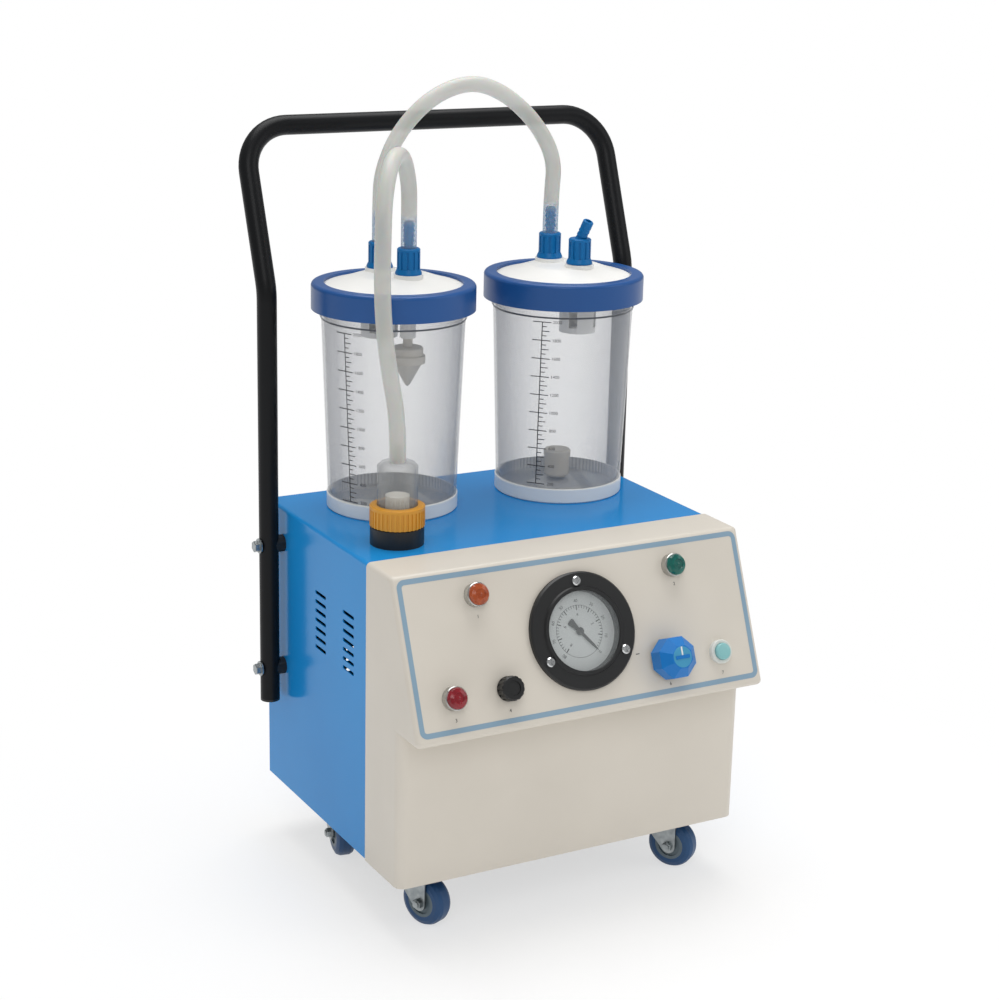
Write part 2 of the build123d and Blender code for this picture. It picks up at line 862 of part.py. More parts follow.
def make_handle_spacers():
    """Plastic spacers between handle and cabinet, and the plugs in the tube's feet."""
    spacer = pipe(handle_tube / 2 - 1, bolt_radius + panel_hole_clearance, half_width, handle_half)
    bore = handle_tube / 2 - handle_wall
    plug = rod(bore, 0, plug_length) + rod(handle_tube / 2, -plug_cap, 0)
    pieces = []
    for side in (0, 180):
        for level in bolt_levels:
            saddle = along_x(spacer) - Pos(handle_half, 0, 0) * rod(handle_tube / 2, -20, 20)
            pieces.append(Pos(0, handle_depth, level) * Rot(0, 0, side) * saddle)
        x = handle_half if side else -handle_half
        pieces.append(Pos(x, handle_depth, handle_foot) * plug)
    return group(pieces)


def make_handle_bolts():
    """Hexagon head bolts through the handle, with washers and nuts inside the cover."""
    start = handle_half + handle_tube / 2
    head = extrude(Pos(0, 0, start + washer_height) * RegularPolygon(bolt_head_radius, 6), amount=bolt_head_height)
    head = chamfer(head.edges().group_by(Axis.Z)[-1], 0.5)
    bolt = head + rod(bolt_radius, inner_half - 8, start + washer_height)
    washer = pipe(washer_radius, bolt_radius, start, start + washer_height)
    nut = extrude(Pos(0, 0, inner_half - 5) * RegularPolygon(bolt_head_radius, 6), amount=5)
    nut -= rod(bolt_radius, 0, start)
    pieces = []
    for side in (0, 180):
        for level in bolt_levels:
            place = Pos(0, handle_depth, level) * Rot(0, 0, side)
            pieces += [place * along_x(item) for item in (bolt, washer, nut)]
    return group(pieces)


# Castors


def castor_places():
    """Swivel axis of each castor, by its corner."""
    left = castor_track_shift - castor_half_track
    right = castor_track_shift + castor_half_track
    return {
        "fl": (left, castor_front),
        "fr": (right, castor_front),
        "rl": (left, castor_rear),
        "rr": (right, castor_rear),
    }


def castor_screw_places():
    """Where the castor plates are screwed to the tray."""
    half = castor_hole_spacing / 2
    corners = [(-half, -half), (-half, half), (half, -half), (half, half)]
    return [(x + dx, y + dy) for x, y in castor_places().values() for dx, dy in corners]


def make_castor_plates():
    """Top plates, each with its riveted kingpin."""
    plate_low = floor_gap - castor_plate_sheet
    crown_low = plate_low - crown_drop
    half = castor_plate_size / 2
    plate = block(-half, half, -half, half, plate_low, floor_gap)
    plate = fillet(plate.edges().filter_by(Axis.Z), 6)
    side = castor_hole_spacing / 2
    hole = rod(castor_screw_radius + panel_hole_clearance, 0, floor_gap + 1)
    plate -= [Pos(x, y, 0) * hole for x in (-side, side) for y in (-side, side)]
    plate += rod(kingpin_radius, crown_low - moving_gap - kingpin_head_height, plate_low)
    head_top = crown_low - moving_gap
    plate += rod(kingpin_head_radius, head_top - kingpin_head_height, head_top)
    return group([Pos(x, y, 0) * plate for x, y in castor_places().values()])


def make_castor_screws():
    """Screws that hold the castor plates to the tray, with nuts inside."""
    low = floor_gap - castor_plate_sheet
    screw = rod(castor_screw_head, low - castor_screw_head_height, low)
    screw = chamfer(screw.edges().group_by(Axis.Z)[0], 1.0)
    screw += rod(castor_screw_radius, low, floor_gap + tray_sheet + 5)
    nut = extrude(Pos(0, 0, floor_gap + tray_sheet) * RegularPolygon(castor_screw_radius * 1.9, 6), amount=4)
    nut -= rod(castor_screw_radius, 0, floor_gap + 20)
    return group([Pos(x, y, 0) * piece for x, y in castor_screw_places() for piece in (screw, nut)])


def fork_half_gap():
    """Half the clear width between the fork's legs."""
    return wheel_width / 2 + wheel_hub_overhang + fork_side_gap


def castor_fork():
    """Pressed fork: crown with raised race, two tapering legs, axle bolt and nut."""
    wheel_radius = wheel_diameter / 2
    plate_low = floor_gap - castor_plate_sheet
    crown_low = plate_low - crown_drop
    crown_high = crown_low + fork_sheet
    inside = fork_half_gap()
    outside = inside + fork_sheet
    front = -castor_trail - axle_boss_radius
    rear = race_radius - 1.5
    tail = degrees(atan2(crown_low - wheel_radius, rear + castor_trail))
    slope = radians(90 - tail * 0.75)
    boss = (-castor_trail + axle_boss_radius * sin(slope), wheel_radius - axle_boss_radius * cos(slope))
    leg = make_face(
        Plane.YZ
        * Polyline(
            (front, wheel_radius),
            (front, crown_high),
            (rear, crown_high),
            (rear, crown_low - 3),
            boss,
            (-castor_trail, wheel_radius),
            close=True,
        )
    )
    leg += Plane.YZ * Pos(-castor_trail, wheel_radius) * Circle(axle_boss_radius)
    legs = extrude(leg, amount=outside, both=True)
    crown = block(-outside, outside, front, rear, crown_low, crown_high)
    legs -= block(-inside, inside, front - 1, rear + 1, 0, crown_low)
    fork = fillet((legs + crown).edges().filter_by(Axis.Y).group_by(Axis.Z)[-1], fork_sheet * 0.9)
    fork += rod(race_radius, crown_low, plate_low - moving_gap - 1.2)
    fork += rod(race_radius - 2.5, plate_low - moving_gap - 1.3, plate_low - moving_gap)
    fork -= rod(kingpin_radius + running_fit, crown_low - 1, plate_low)
    axle_hole = Pos(0, -castor_trail, wheel_radius) * along_x(rod(axle_radius, -2 * outside, 2 * outside))
    return fork - axle_hole


def castor_axle():
    """Axle bolt with a hexagon head outside one leg and a nut outside the other."""
    outside = fork_half_gap() + fork_sheet
    head = extrude(Pos(0, 0, outside) * RegularPolygon(axle_head_radius, 6), amount=axle_head_height)
    nut = extrude(Pos(0, 0, outside) * RegularPolygon(axle_head_radius, 6), amount=axle_head_height + 0.6)
    nut = chamfer(nut.edges().group_by(Axis.Z)[-1], 0.6) - rod(axle_radius, 0, 2 * outside)
    bolt = rod(axle_radius, -outside, outside + axle_head_height + 1.6)
    bolt += Rot(180, 0, 0) * head
    place = Pos(0, -castor_trail, wheel_diameter / 2) * Rot(0, 0, 180)
    return [place * along_x(bolt), place * along_x(nut)]


def make_castor_fork(corner):
    """One fork with its axle bolt, turned as the castor stands."""
    x, y = castor_places()[corner]
    place = Pos(x, y, 0) * Rot(0, 0, castor_turns[corner])
    return group([place * castor_fork()] + [place * piece for piece in castor_axle()])


def make_castor_wheel(corner):
    """Wheel hub with recessed faces, and the crowned tyre bonded round it."""
    radius = wheel_diameter / 2
    half = wheel_width / 2
    bore = axle_radius + running_fit
    hub_half = half + wheel_hub_overhang
    hub = turned([
        (bore, -hub_half),
        (axle_radius + 2.6, -hub_half),
        (axle_radius + 2.6, 1.6 - half),
        (wheel_hub_radius - 1.6, 1.6 - half),
        (wheel_hub_radius - 1.6, -half),
        (wheel_hub_radius, -half),
        (wheel_hub_radius, half),
        (wheel_hub_radius - 1.6, half),
        (wheel_hub_radius - 1.6, half - 1.6),
        (axle_radius + 2.6, half - 1.6),
        (axle_radius + 2.6, hub_half),
        (bore, hub_half),
    ])
    crown = [
        (radius - wheel_crown, half),
        (radius - 0.3 * wheel_crown, half - 0.35 * wheel_crown),
        (radius, half - wheel_crown),
    ]
    lower = [(r, -z) for r, z in reversed(crown)]
    tyre = turned([(wheel_hub_radius, half)] + crown + lower + [(wheel_hub_radius, -half)])
    x, y = castor_places()[corner]
    place = Pos(x, y, 0) * Rot(0, 0, castor_turns[corner]) * Pos(0, -castor_trail, radius)
    return group([place * along_x(hub), place * along_x(tyre)])


# Jars


def at_jar(side, shape):
    """Put a shape drawn about Z on the axis of a jar."""
    x, y = jar_places[side]
    return Pos(x, y, 0) * shape


def port_places(side):
    """Front and rear hose ports on a lid, either side of the jar's axis."""
    x, y = jar_places[side]
    turn = radians(port_turns[side])
    dx, dy = port_offset * cos(turn), port_offset * sin(turn)
    return {"front": (x - dx, y - dy), "rear": (x + dx, y + dy)}


def make_jar(side):
    """Tapered clear jar with a base spigot, a bead below the mouth and a straight neck."""
    low = jar_seat + foot_floor
    step = jar_seat + foot_height
    shoulder = jar_seat + shoulder_level
    plug = foot_rim_radius - foot_wall
    r0, r1 = jar_base_radius, jar_mouth_radius
    outer = [
        (0, low),
        (plug, low),
        (plug, step),
        (r0, step),
        (r1, shoulder),
        (r1 + bead_proud, shoulder),
        (r1 + bead_proud, shoulder + bead_height),
        (r1, shoulder + bead_height),
        (r1, mouth),
    ]
    inner = [
        (r1 - jar_wall, mouth),
        (r1 - jar_wall, shoulder),
        (r0 - jar_wall, step),
        (plug - jar_wall, low + jar_floor + 4),
        (plug - jar_wall - 4, low + jar_floor),
        (0, low + jar_floor),
    ]
    return at_jar(side, turned(outer + inner))


def make_jar_feet():
    """White foot cups under both jars."""
    r = foot_rim_radius
    cup = turned([
        (0, jar_seat),
        (r - 1.2, jar_seat),
        (r, jar_seat + 1.2),
        (r, jar_seat + foot_height - 0.8),
        (r - 0.8, jar_seat + foot_height),
        (r - foot_wall, jar_seat + foot_height),
        (r - foot_wall, jar_seat + foot_floor),
        (0, jar_seat + foot_floor),
    ])
    return group([at_jar(side, cup) for side in jar_places])


def make_jar_seals():
    """Flat rubber seals on the jar mouths."""
    r = jar_mouth_radius - 0.3
    return group([at_jar(side, pipe(r, r - seal_width, mouth, lid_seat)) for side in jar_places])


def lid_outer_profile():
    """Outer outline of a lid from its axis to the foot of its rim."""
    middle = (lid_crown_radius + lid_opening) / 2
    return [
        (0, lid_crown),
        (lid_crown_radius * 0.8, lid_crown),
        (lid_crown_radius, lid_crown - 0.05 * lid_rise),
        (middle, lid_edge + 0.46 * lid_rise),
        (lid_opening - 1.5, lid_edge + 0.1 * lid_rise),
        (lid_opening, lid_edge),
        (lid_rim_radius, lid_edge),
    ]


def float_guide():
    """Port pad with the tube under it that guides the float valve's pin."""
    low = lid_edge - float_stem_drop
    bore = float_pin_radius + running_fit
    middle = lid_crown - lid_wall / 2
    return turned([
        (bore, low),
        (float_stem_radius - 1, low),
        (float_stem_radius, low + 1),
        (float_stem_radius, middle),
        (port_pad_radius, middle),
        (port_pad_radius, port_seat),
        (bore, port_seat),
    ])


def baffle_cup():
    """Windowed cup on Z under a port, with a floor around the port's hole."""
    low, top = lid_edge - baffle_drop, lid_crown - lid_wall + baffle_root
    cup = pipe(baffle_radius, baffle_radius - baffle_wall, low, top)
    cup += pipe(baffle_radius, port_hole_radius, low, low + baffle_wall)
    window = block(0, 2 * baffle_radius, -4, 4, low + 5, low + 0.4 * baffle_drop)
    return cup - around(4, window, 45)


def make_lid(side):
    """Domed lid with two port pads, their holes and a baffle cup under one port."""
    lid = turned(lid_outer_profile() + [
        (lid_rim_radius, lid_seat),
        (lid_opening - 4, lid_seat),
        (lid_crown_radius, lid_crown - lid_wall),
        (0, lid_crown - lid_wall),
    ])
    x, y = jar_places[side]
    ports = {name: (px - x, py - y) for name, (px, py) in port_places(side).items()}
    for name, place in ports.items():
        if side == "left" and name == "front":
            lid += Pos(*place, 0) * float_guide()
        else:
            lid += Pos(*place, 0) * rod(port_pad_radius, lid_crown - lid_wall / 2, port_seat)
    cup_port = ports["rear"] if side == "left" else ports["front"]
    lid += Pos(*cup_port, 0) * baffle_cup()
    for place in ports.values():
        lid -= Pos(*place, 0) * rod(port_hole_radius, port_seat - spigot_length, port_seat + 1)
    return at_jar(side, lid)


def make_jar_lids():
    """Both lids, each with its baffle cup away from the float."""
    return group([make_lid(side) for side in jar_places])


def make_jar_ring(side):
    """Screw ring: rounded outer wall, top flange over the lid and inner collar on the neck."""
    low = ring_upper - ring_height
    collar = jar_mouth_radius + running_fit
    shell = turned([
        (ring_radius, low),
        (ring_radius, ring_upper),
        (ring_opening, ring_upper),
        (ring_opening, ring_underside),
        (collar, ring_underside),
        (collar, low + 2),
        (collar + ring_collar_wall, low + 2),
        (collar + ring_collar_wall, ring_underside),
        (ring_radius - ring_wall, ring_underside),
        (ring_radius - ring_wall, low),
    ])
    top = shell.edges().filter_by(GeomType.CIRCLE).group_by(Axis.Z)[-1].sort_by(SortBy.RADIUS)[-1]
    return at_jar(side, fillet(top, ring_round))


# Hose connectors, floats and hoses


def barb(base, length=barb_length, ribs=barb_ribs, root=barb_root):
    """Hose barb on Z: a plain root with conical ribs."""
    top = base + length
    points = [(connector_bore, base - 1), (root, base - 1)]
    first = top - ribs * barb_pitch
    for i in range(ribs):
        low = first + i * barb_pitch
        points += [(root, low), (barb_rib, low), (barb_rib, low + 0.8), (root, low + barb_pitch - 0.6)]
    points += [(root, top), (connector_bore, top)]
    return turned(points)


def connector_body(base):
    """Fluted body of a connector with a flared foot, standing on its pad."""
    body = rod(connector_radius, base, base + connector_height)
    body = chamfer(body.edges().group_by(Axis.Z)[-1], 1.0)
    flute = block(connector_radius - 0.8, connector_radius + 1, -0.9, 0.9, base + 4, base + connector_height - 3)
    body -= around(connector_flutes, flute)
    body += turned([
        (0, base),
        (connector_flare, base),
        (connector_flare, base + 1.5),
        (connector_radius, base + 5),
        (0, base + 5),
    ])
    return body


def make_hose_connectors():
    """The three straight connectors that hold the hoses."""
    piece = connector_body(port_seat) + barb(port_seat + connector_height)
    piece += rod(port_hole_radius, port_seat - spigot_length, port_seat)
    piece -= rod(connector_bore, port_seat - spigot_length - 1, barb_top + 1)
    left, right = port_places("left"), port_places("right")
    return group([Pos(*place, 0) * piece for place in (left["front"], left["rear"], right["rear"])])


def make_suction_elbow():
    """Angled suction nozzle that swivels in the lid: body, spigot and leaning barb."""
    base = port_seat + moving_gap
    top = base + connector_height
    body = connector_body(base)
    body += rod(port_hole_radius - running_fit, base - spigot_length, base + 1)
    nozzle = barb(0, nozzle_length, nozzle_ribs, nozzle_root) + turned([
        (connector_bore, nozzle_length - 1 - nozzle_land_lead),
        (nozzle_root - nozzle_land_lead, nozzle_length - 1 - nozzle_land_lead),
        (nozzle_land_radius, nozzle_length - 1),
        (nozzle_land_radius, nozzle_length + nozzle_land - 0.8),
        (nozzle_land_radius - 0.8, nozzle_length + nozzle_land),
        (connector_bore, nozzle_length + nozzle_land),
    ])
    nozzle = Pos(0, 0, top - 2) * Rot(0, elbow_lean, 0) * Pos(0, 0, -2) * (nozzle - rod(connector_bore, -2, 40))
    body += Rot(0, 0, elbow_turn) * nozzle
    body -= rod(connector_bore, base - spigot_length - 1, top - 6)
    x, y = port_places("right")["front"]
    return Pos(x, y, 0) * body


def make_float_valve():
    """Float with a guide pin, two tiers and a cone below; rising liquid lifts it."""
    top = lid_edge - float_stem_drop
    neck_low = top - float_neck
    body = rod(float_pin_radius, neck_low - 1, top + float_pin_grip)
    level = neck_low
    for radius, height in float_tiers:
        tier = rod(radius, level - height, level)
        body += chamfer(tier.edges().group_by(Axis.Z)[-1], 1.0)
        level -= height
    body += turned([
        (0, level + 1),
        (float_cone_radius, level + 1),
        (float_cone_radius, level),
        (2.2, level - float_cone_height + 1.5),
        (0, level - float_cone_height),
    ])
    x, y = port_places("left")["front"]
    return Pos(x, y, 0) * body


def make_float_cup():
    """Loose float of the right jar, a closed hollow cup with a wider cap."""
    low = jar_seat + foot_floor + jar_floor + moving_gap
    top = low + cup_height
    cup = rod(cup_radius, low, top)
    cup = chamfer(cup.edges().group_by(Axis.Z)[0], 2.6)
    cap = rod(cup_cap_radius, top - cup_cap_height, top)
    cup += chamfer(cap.edges().group_by(Axis.Z)[-1], 1.4)
    cup -= rod(cup_radius - cup_wall, low + 3.6, top - 2.5)
    x, y = jar_places["right"]
    return Pos(x + cup_offset[0], y + cup_offset[1], 0) * cup


def jar_link_points():
    """Route of the hose from the left jar's rear port to the right jar's rear port."""
    x0, y0 = port_places("left")["rear"]
    x1, y1 = port_places("right")["rear"]
    start = port_seat + connector_height
    points = [(x0 + dx, y0 + dy, start + dz) for dx, dy, dz in jar_link_steps]
    return points + [(x1 + dx, y1 + dy, start + dz) for dx, dy, dz in jar_link_last_steps]


def filter_hose_points():
    """Route of the hose from the left jar's front port over and down to the filter."""
    x, y = port_places("left")["front"]
    start = port_seat + connector_height
    points = [(x + dx, y + dy, start + dz) for dx, dy, dz in filter_hose_steps]
    return points + [(*filter_place, filter_dome_top + 37), (*filter_place, filter_dome_top)]


def bend_radii(points):
    """The largest arc each corner of a route has room for."""
    radii = []
    for before, here, after in zip(points, points[1:], points[2:]):
        a, b = Vector(*here) - Vector(*before), Vector(*after) - Vector(*here)
        turn = radians(a.get_angle(b))
        radii.append(0.45 * min(a.length, b.length) / tan(turn / 2))
    return radii


def hose(points, outer, inner):
    """Hose of straight runs joined by tangent arcs."""
    radii = bend_radii(points)
    route = FilletPolyline(*points, radius=radii)
    section = Circle(outer) - Circle(inner)
    tube = sweep(Plane(route @ 0, z_dir=route % 0) * section, path=route)
    print("hose length", round(route.length, 1), "least radius", round(min(radii), 1))
    print("volume over section", round(tube.volume / (pi * (outer**2 - inner**2)), 1))
    return tube


# Bacteria filter


def make_filter_base():
    """Black base: body, neck for the ring, and the spigot that passes through the deck."""
    top = deck + filter_base_height
    body = rod(filter_base_radius, deck, top)
    body = chamfer(body.edges().group_by(Axis.Z)[-1], 0.8)
    body += rod(filter_neck_radius, top - 1, top + filter_neck_height)
    body += rod(filter_spigot_radius, deck - filter_spigot_length, deck)
    body -= rod(filter_dome_radius - filter_dome_wall, top + 1, top + filter_neck_height + 1)
    body -= rod(tubing_inner, deck - filter_spigot_length - 1, top + 2)
    nut = extrude(Pos(0, 0, deck - sheet - 4) * RegularPolygon(filter_spigot_radius + 4, 6), amount=4)
    return Pos(*filter_place, 0) * (body + nut - rod(tubing_inner, 0, deck + 2))


def make_filter_ring():
    """Ribbed ring that holds the dome down on the base."""
    low = filter_ring_foot
    high = low + filter_ring_height
    flange_top = filter_dome_foot + filter_flange_height + moving_gap
    body = rod(filter_ring_radius - 0.8, low, high)
    body = chamfer(body.edges().group_by(Axis.Z)[-1], 1.0)
    rib = block(filter_ring_radius - 2, filter_ring_radius, -0.9, 0.9, low, high - 3.5)
    body += around(filter_ring_ribs, rib)
    body += pipe(filter_ring_radius, filter_ring_radius - 3, high - 3.5, high - 1.0)
    body -= rod(filter_neck_radius + running_fit, low - 1, flange_top)
    body -= rod(filter_dome_radius + moving_gap, low, high + 1)
    return Pos(*filter_place, 0) * body


def make_filter_dome():
    """Clear dome with a clamping flange, rounded shoulder and a hose spigot on top."""
    low = filter_dome_foot
    body = rod(filter_dome_radius, low, filter_dome_top)
    body = chamfer(body.edges().group_by(Axis.Z)[-1], 3)
    body += rod(filter_neck_radius - 0.3, low, low + filter_flange_height)
    inner = filter_dome_radius - filter_dome_wall
    hollow = rod(inner, low - 1, filter_dome_top - filter_dome_wall)
    hollow = chamfer(hollow.edges().group_by(Axis.Z)[-1], 2.2)
    body -= hollow
    body += Pos(0, 0, filter_dome_top) * (barb(0) & rod(10, -1, 15))
    body -= rod(connector_bore, low, filter_dome_top + 40)
    return Pos(*filter_place, 0) * body


def make_filter_element():
    """Pleated filter cartridge under the dome, standing on the base."""
    low = deck + filter_base_height + 1
    body = rod(filter_element_radius, low, low + filter_element_height)
    groove = Pos(filter_element_radius + 0.4, 0, 0) * rod(1.3, low + 3, low + filter_element_height - 3)
    body -= around(16, groove)
    body -= rod(tubing_inner, low - 1, low + filter_element_height - 3)
    return Pos(*filter_place, 0) * body


# Motor and pump


def on_drive(shape):
    """Lay a shape drawn about Z along the motor's axis."""
    return Pos(0, drive_depth, drive_height) * along_x(shape)


def make_motor_casing():
    """Finned motor body with end shields, bearing seats and feet."""
    inner = motor_radius - motor_wall
    body = rod(motor_radius, motor_left, motor_right)
    body -= rod(inner, motor_left + 8, motor_right - 8)
    span = block(
        motor_radius - 1,
        motor_radius + motor_fin_height,
        -motor_fin_width / 2,
        motor_fin_width / 2,
        motor_left + 12,
        motor_right - 12,
    )
    fins = [f for f in around(motor_fins, span, 9) if f.center().X < 0.5 * motor_radius]
    body += fins
    body -= rod(shaft_radius + running_fit, motor_left - 1, motor_right + 1)
    casing = on_drive(body)
    middle = (motor_left + motor_right) / 2
    half = motor_foot_length / 2
    seat = floor_gap + tray_sheet + mount_height
    foot = block(
        middle - half,
        middle + half,
        drive_depth - motor_foot_width / 2,
        drive_depth + motor_foot_width / 2,
        seat,
        drive_height - 0.7 * motor_radius,
    )
    return casing + (foot - on_drive(rod(motor_radius - 1, motor_left, motor_right)))


def make_motor_shaft():
    """Shaft with the rotor core and its end rings, running through motor and pump."""
    start = motor_left - fan_gap - fan_width
    end = motor_right + pump_length + 2
    body = rod(shaft_radius, start, end)
    body += rod(rotor_core_radius, motor_left + 20, motor_right - 20)
    body += pipe(rotor_core_radius - 4, rotor_core_radius - 12, motor_left + 14, motor_right - 14)
    return on_drive(body)


def make_cooling_fan():
    """Radial cooling fan pressed on the shaft's free end."""
    high = motor_left - fan_gap
    low = high - fan_width
    fan = pipe(shaft_radius + 6, shaft_radius, low, high)
    fan += pipe(fan_radius, shaft_radius, high - 2, high)
    blade = block(shaft_radius + 5, fan_radius, -fan_blade_sheet / 2, fan_blade_sheet / 2, low, high - 1)
    fan += around(fan_blades, blade)
    return on_drive(fan)


def make_pump_cylinder():
    """Pump body with the bore set off the shaft, cooling ribs and two ports."""
    low = motor_right
    high = low + pump_length
    body = rod(pump_radius - 3, low, high)
    for i in range(5):
        level = low + 6 + i * (pump_length - 12) / 4
        body += rod(pump_radius, level - 1.5, level + 1.5)
    body -= Pos(-pump_offset, 0, 0) * rod(pump_bore, low + 6, high + 1)
    body -= rod(shaft_radius + running_fit, low - 1, low + 7)
    pump = on_drive(body)
    middle = (low + high) / 2
    for y in (-22.0, 22.0):
        boss = rod(9, pump_bore + 3, pump_radius + 10) - rod(connector_bore, pump_bore - 10, pump_radius + 11)
        pump += Pos(middle, drive_depth + y, drive_height - 6) * boss
    return pump


def make_pump_cover():
    """End cover of the pump with its clamping screws."""
    low = motor_right + pump_length
    body = rod(pump_radius - 3, low, low + pump_cover_height)
    body = chamfer(body.edges().group_by(Axis.Z)[-1], 1.5)
    body -= rod(shaft_radius + running_fit, low - 1, low + 4)
    screw = extrude(Pos(pump_radius - 7, 0, low + pump_cover_height) * RegularPolygon(4.5, 6), amount=3)
    body += around(6, screw, 30)
    return on_drive(body)


def pump_span():
    """Both ends of the rotor inside the pump."""
    return motor_right + 6 + moving_gap, motor_right + pump_length - moving_gap


def make_pump_rotor():
    """Slotted pump rotor on the shaft."""
    low, high = pump_span()
    body = pipe(pump_rotor_radius, shaft_radius, low, high)
    slot = block(pump_rotor_radius - vane_height, pump_rotor_radius + 1, -vane_sheet / 2, vane_sheet / 2, low - 1, high + 1)
    body -= around(vane_count, slot, 45)
    return on_drive(body)


def make_pump_vanes():
    """Carbon vanes in the rotor's slots, drawn fully in."""
    low, high = pump_span()
    base = pump_rotor_radius - vane_height
    vane = block(base, pump_rotor_radius - 0.3, -vane_sheet / 2, vane_sheet / 2, low, high)
    return group([on_drive(v) for v in around(vane_count, vane, 45)])


def make_pump_mounts():
    """Rubber mounts between the motor's feet and the tray."""
    low = floor_gap + tray_sheet
    high = low + mount_height
    mount = turned([
        (0, low),
        (mount_radius, low),
        (mount_radius, low + 3),
        (mount_radius - 2.5, (low + high) / 2),
        (mount_radius, high - 3),
        (mount_radius, high),
        (0, high),
    ])
    middle = (motor_left + motor_right) / 2
    dx = motor_foot_length / 2 - mount_radius
    dy = motor_foot_width / 2 - mount_radius
    corners = [(middle + sx * dx, drive_depth + sy * dy) for sx in (-1, 1) for sy in (-1, 1)]
    return group([Pos(x, y, 0) * mount for x, y in corners])


def make_inner_tubing():
    """Tube from the filter's spigot to the pump's suction port."""
    x0, y0 = filter_place
    x1 = motor_right + pump_length / 2
    y1 = drive_depth - 22.0
    port = drive_height - 6 + pump_radius + 10
    high = deck - filter_spigot_length
    points = [
        (x0, y0, high),
        (x0, y0, high - 36),
        (x0 + 22, y0 + 4, high - 70),
        (x0 + 62, y0 + 9, high - 82),
        (x1 - 64, y1 - 7, port + 57),
        (x1 - 26, y1 - 2, port + 64),
        (x1, y1, port + 36),
        (x1, y1, port),
    ]
    return hose(points, tubing_outer, tubing_inner)


def all_pieces():
    """Every node of the assembly by its name."""
    pieces = {
        "cabinet_cover": make_cabinet_cover(),
        "rear_panel": make_rear_panel(),
        "base_tray": make_base_tray(),
        "front_moulding": make_front_moulding(),
        "cabinet_screws": make_cabinet_screws(),
        "power_inlet": make_power_inlet(),
        "lamp_bezels": make_lamp_bezels(),
        "lamp_lens_amber": make_lamp_lens(amber_place),
        "lamp_lens_green": make_lamp_lens(green_place),
        "lamp_lens_red": make_lamp_lens(red_place),
        "fuse_holder": make_fuse_holder(),
        "fuse_cap": make_fuse_cap(),
        "fuse_cartridge": make_fuse_cartridge(),
        "gauge_case": make_gauge_case(),
        "gauge_dial": make_gauge_dial(),
        "gauge_glass": make_gauge_glass(),
        "gauge_needle": make_gauge_needle(),
        "gauge_screws": make_gauge_screws(),
        "regulator_valve": make_regulator_valve(),
        "control_knob": make_control_knob(),
        "switch_body": make_switch_body(),
        "push_button": make_push_button(),
        "handle": make_handle(),
        "handle_spacers": make_handle_spacers(),
        "handle_bolts": make_handle_bolts(),
        "castor_plates": make_castor_plates(),
        "castor_screws": make_castor_screws(),
        "jar_feet": make_jar_feet(),
        "jar_seals": make_jar_seals(),
        "jar_lids": make_jar_lids(),
        "hose_connectors": make_hose_connectors(),
        "suction_elbow": make_suction_elbow(),
        "float_valve": make_float_valve(),
        "float_cup": make_float_cup(),
        "jar_link_hose": hose(jar_link_points(), hose_outer, hose_inner),
        "filter_hose": hose(filter_hose_points(), hose_outer, hose_inner),
        "filter_base": make_filter_base(),
        "filter_ring": make_filter_ring(),
        "filter_dome": make_filter_dome(),
        "filter_element": make_filter_element(),
        "motor_casing": make_motor_casing(),
        "motor_shaft": make_motor_shaft(),
        "cooling_fan": make_cooling_fan(),
        "pump_cylinder": group([make_pump_cylinder(), make_pump_cover()]),
        "pump_rotor": make_pump_rotor(),
        "pump_vanes": make_pump_vanes(),
        "pump_mounts": make_pump_mounts(),
        "inner_tubing": make_inner_tubing(),
    }
    for side in jar_places:
        pieces["jar_" + side] = make_jar(side)
        pieces["jar_ring_" + side] = make_jar_ring(side)
    for corner in castor_names:
        pieces["castor_fork_" + corner] = make_castor_fork(corner)
        pieces["castor_wheel_" + corner] = make_castor_wheel(corner)
    return pieces


os.makedirs("parts", exist_ok=True)
for name, shape in all_pieces().items():
    export_step(Pos(0, -middle_y, 0) * shape, f"parts/{name}.step")
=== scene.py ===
import bpy
from math import cos, pi, radians, sin
from mathutils import Matrix, Vector


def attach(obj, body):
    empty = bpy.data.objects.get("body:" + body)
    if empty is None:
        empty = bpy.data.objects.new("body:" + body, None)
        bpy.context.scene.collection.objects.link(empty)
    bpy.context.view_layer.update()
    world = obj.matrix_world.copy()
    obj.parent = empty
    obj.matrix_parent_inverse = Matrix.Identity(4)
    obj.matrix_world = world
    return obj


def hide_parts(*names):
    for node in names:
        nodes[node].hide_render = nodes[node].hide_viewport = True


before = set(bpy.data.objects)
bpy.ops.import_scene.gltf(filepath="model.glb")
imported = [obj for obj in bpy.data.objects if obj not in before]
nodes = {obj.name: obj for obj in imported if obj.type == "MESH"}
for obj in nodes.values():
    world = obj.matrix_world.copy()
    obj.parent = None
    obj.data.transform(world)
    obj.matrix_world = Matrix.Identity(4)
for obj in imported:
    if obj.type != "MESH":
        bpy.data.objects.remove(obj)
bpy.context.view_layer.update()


def deselectAll():
    if bpy.context.mode != "OBJECT":
        bpy.ops.object.mode_set(mode="OBJECT")
    bpy.ops.object.select_all(action="DESELECT")


def pick(piece):
    deselectAll()
    piece.select_set(True)
    bpy.context.view_layer.objects.active = piece


def applyPlace(piece, matrix=None):
    # puts the piece's place into its mesh, as the frame's own parts have it
    pick(piece)
    if matrix is not None:
        piece.matrix_world = matrix @ piece.matrix_world
    bpy.ops.object.transform_apply(location=True, rotation=True, scale=True)


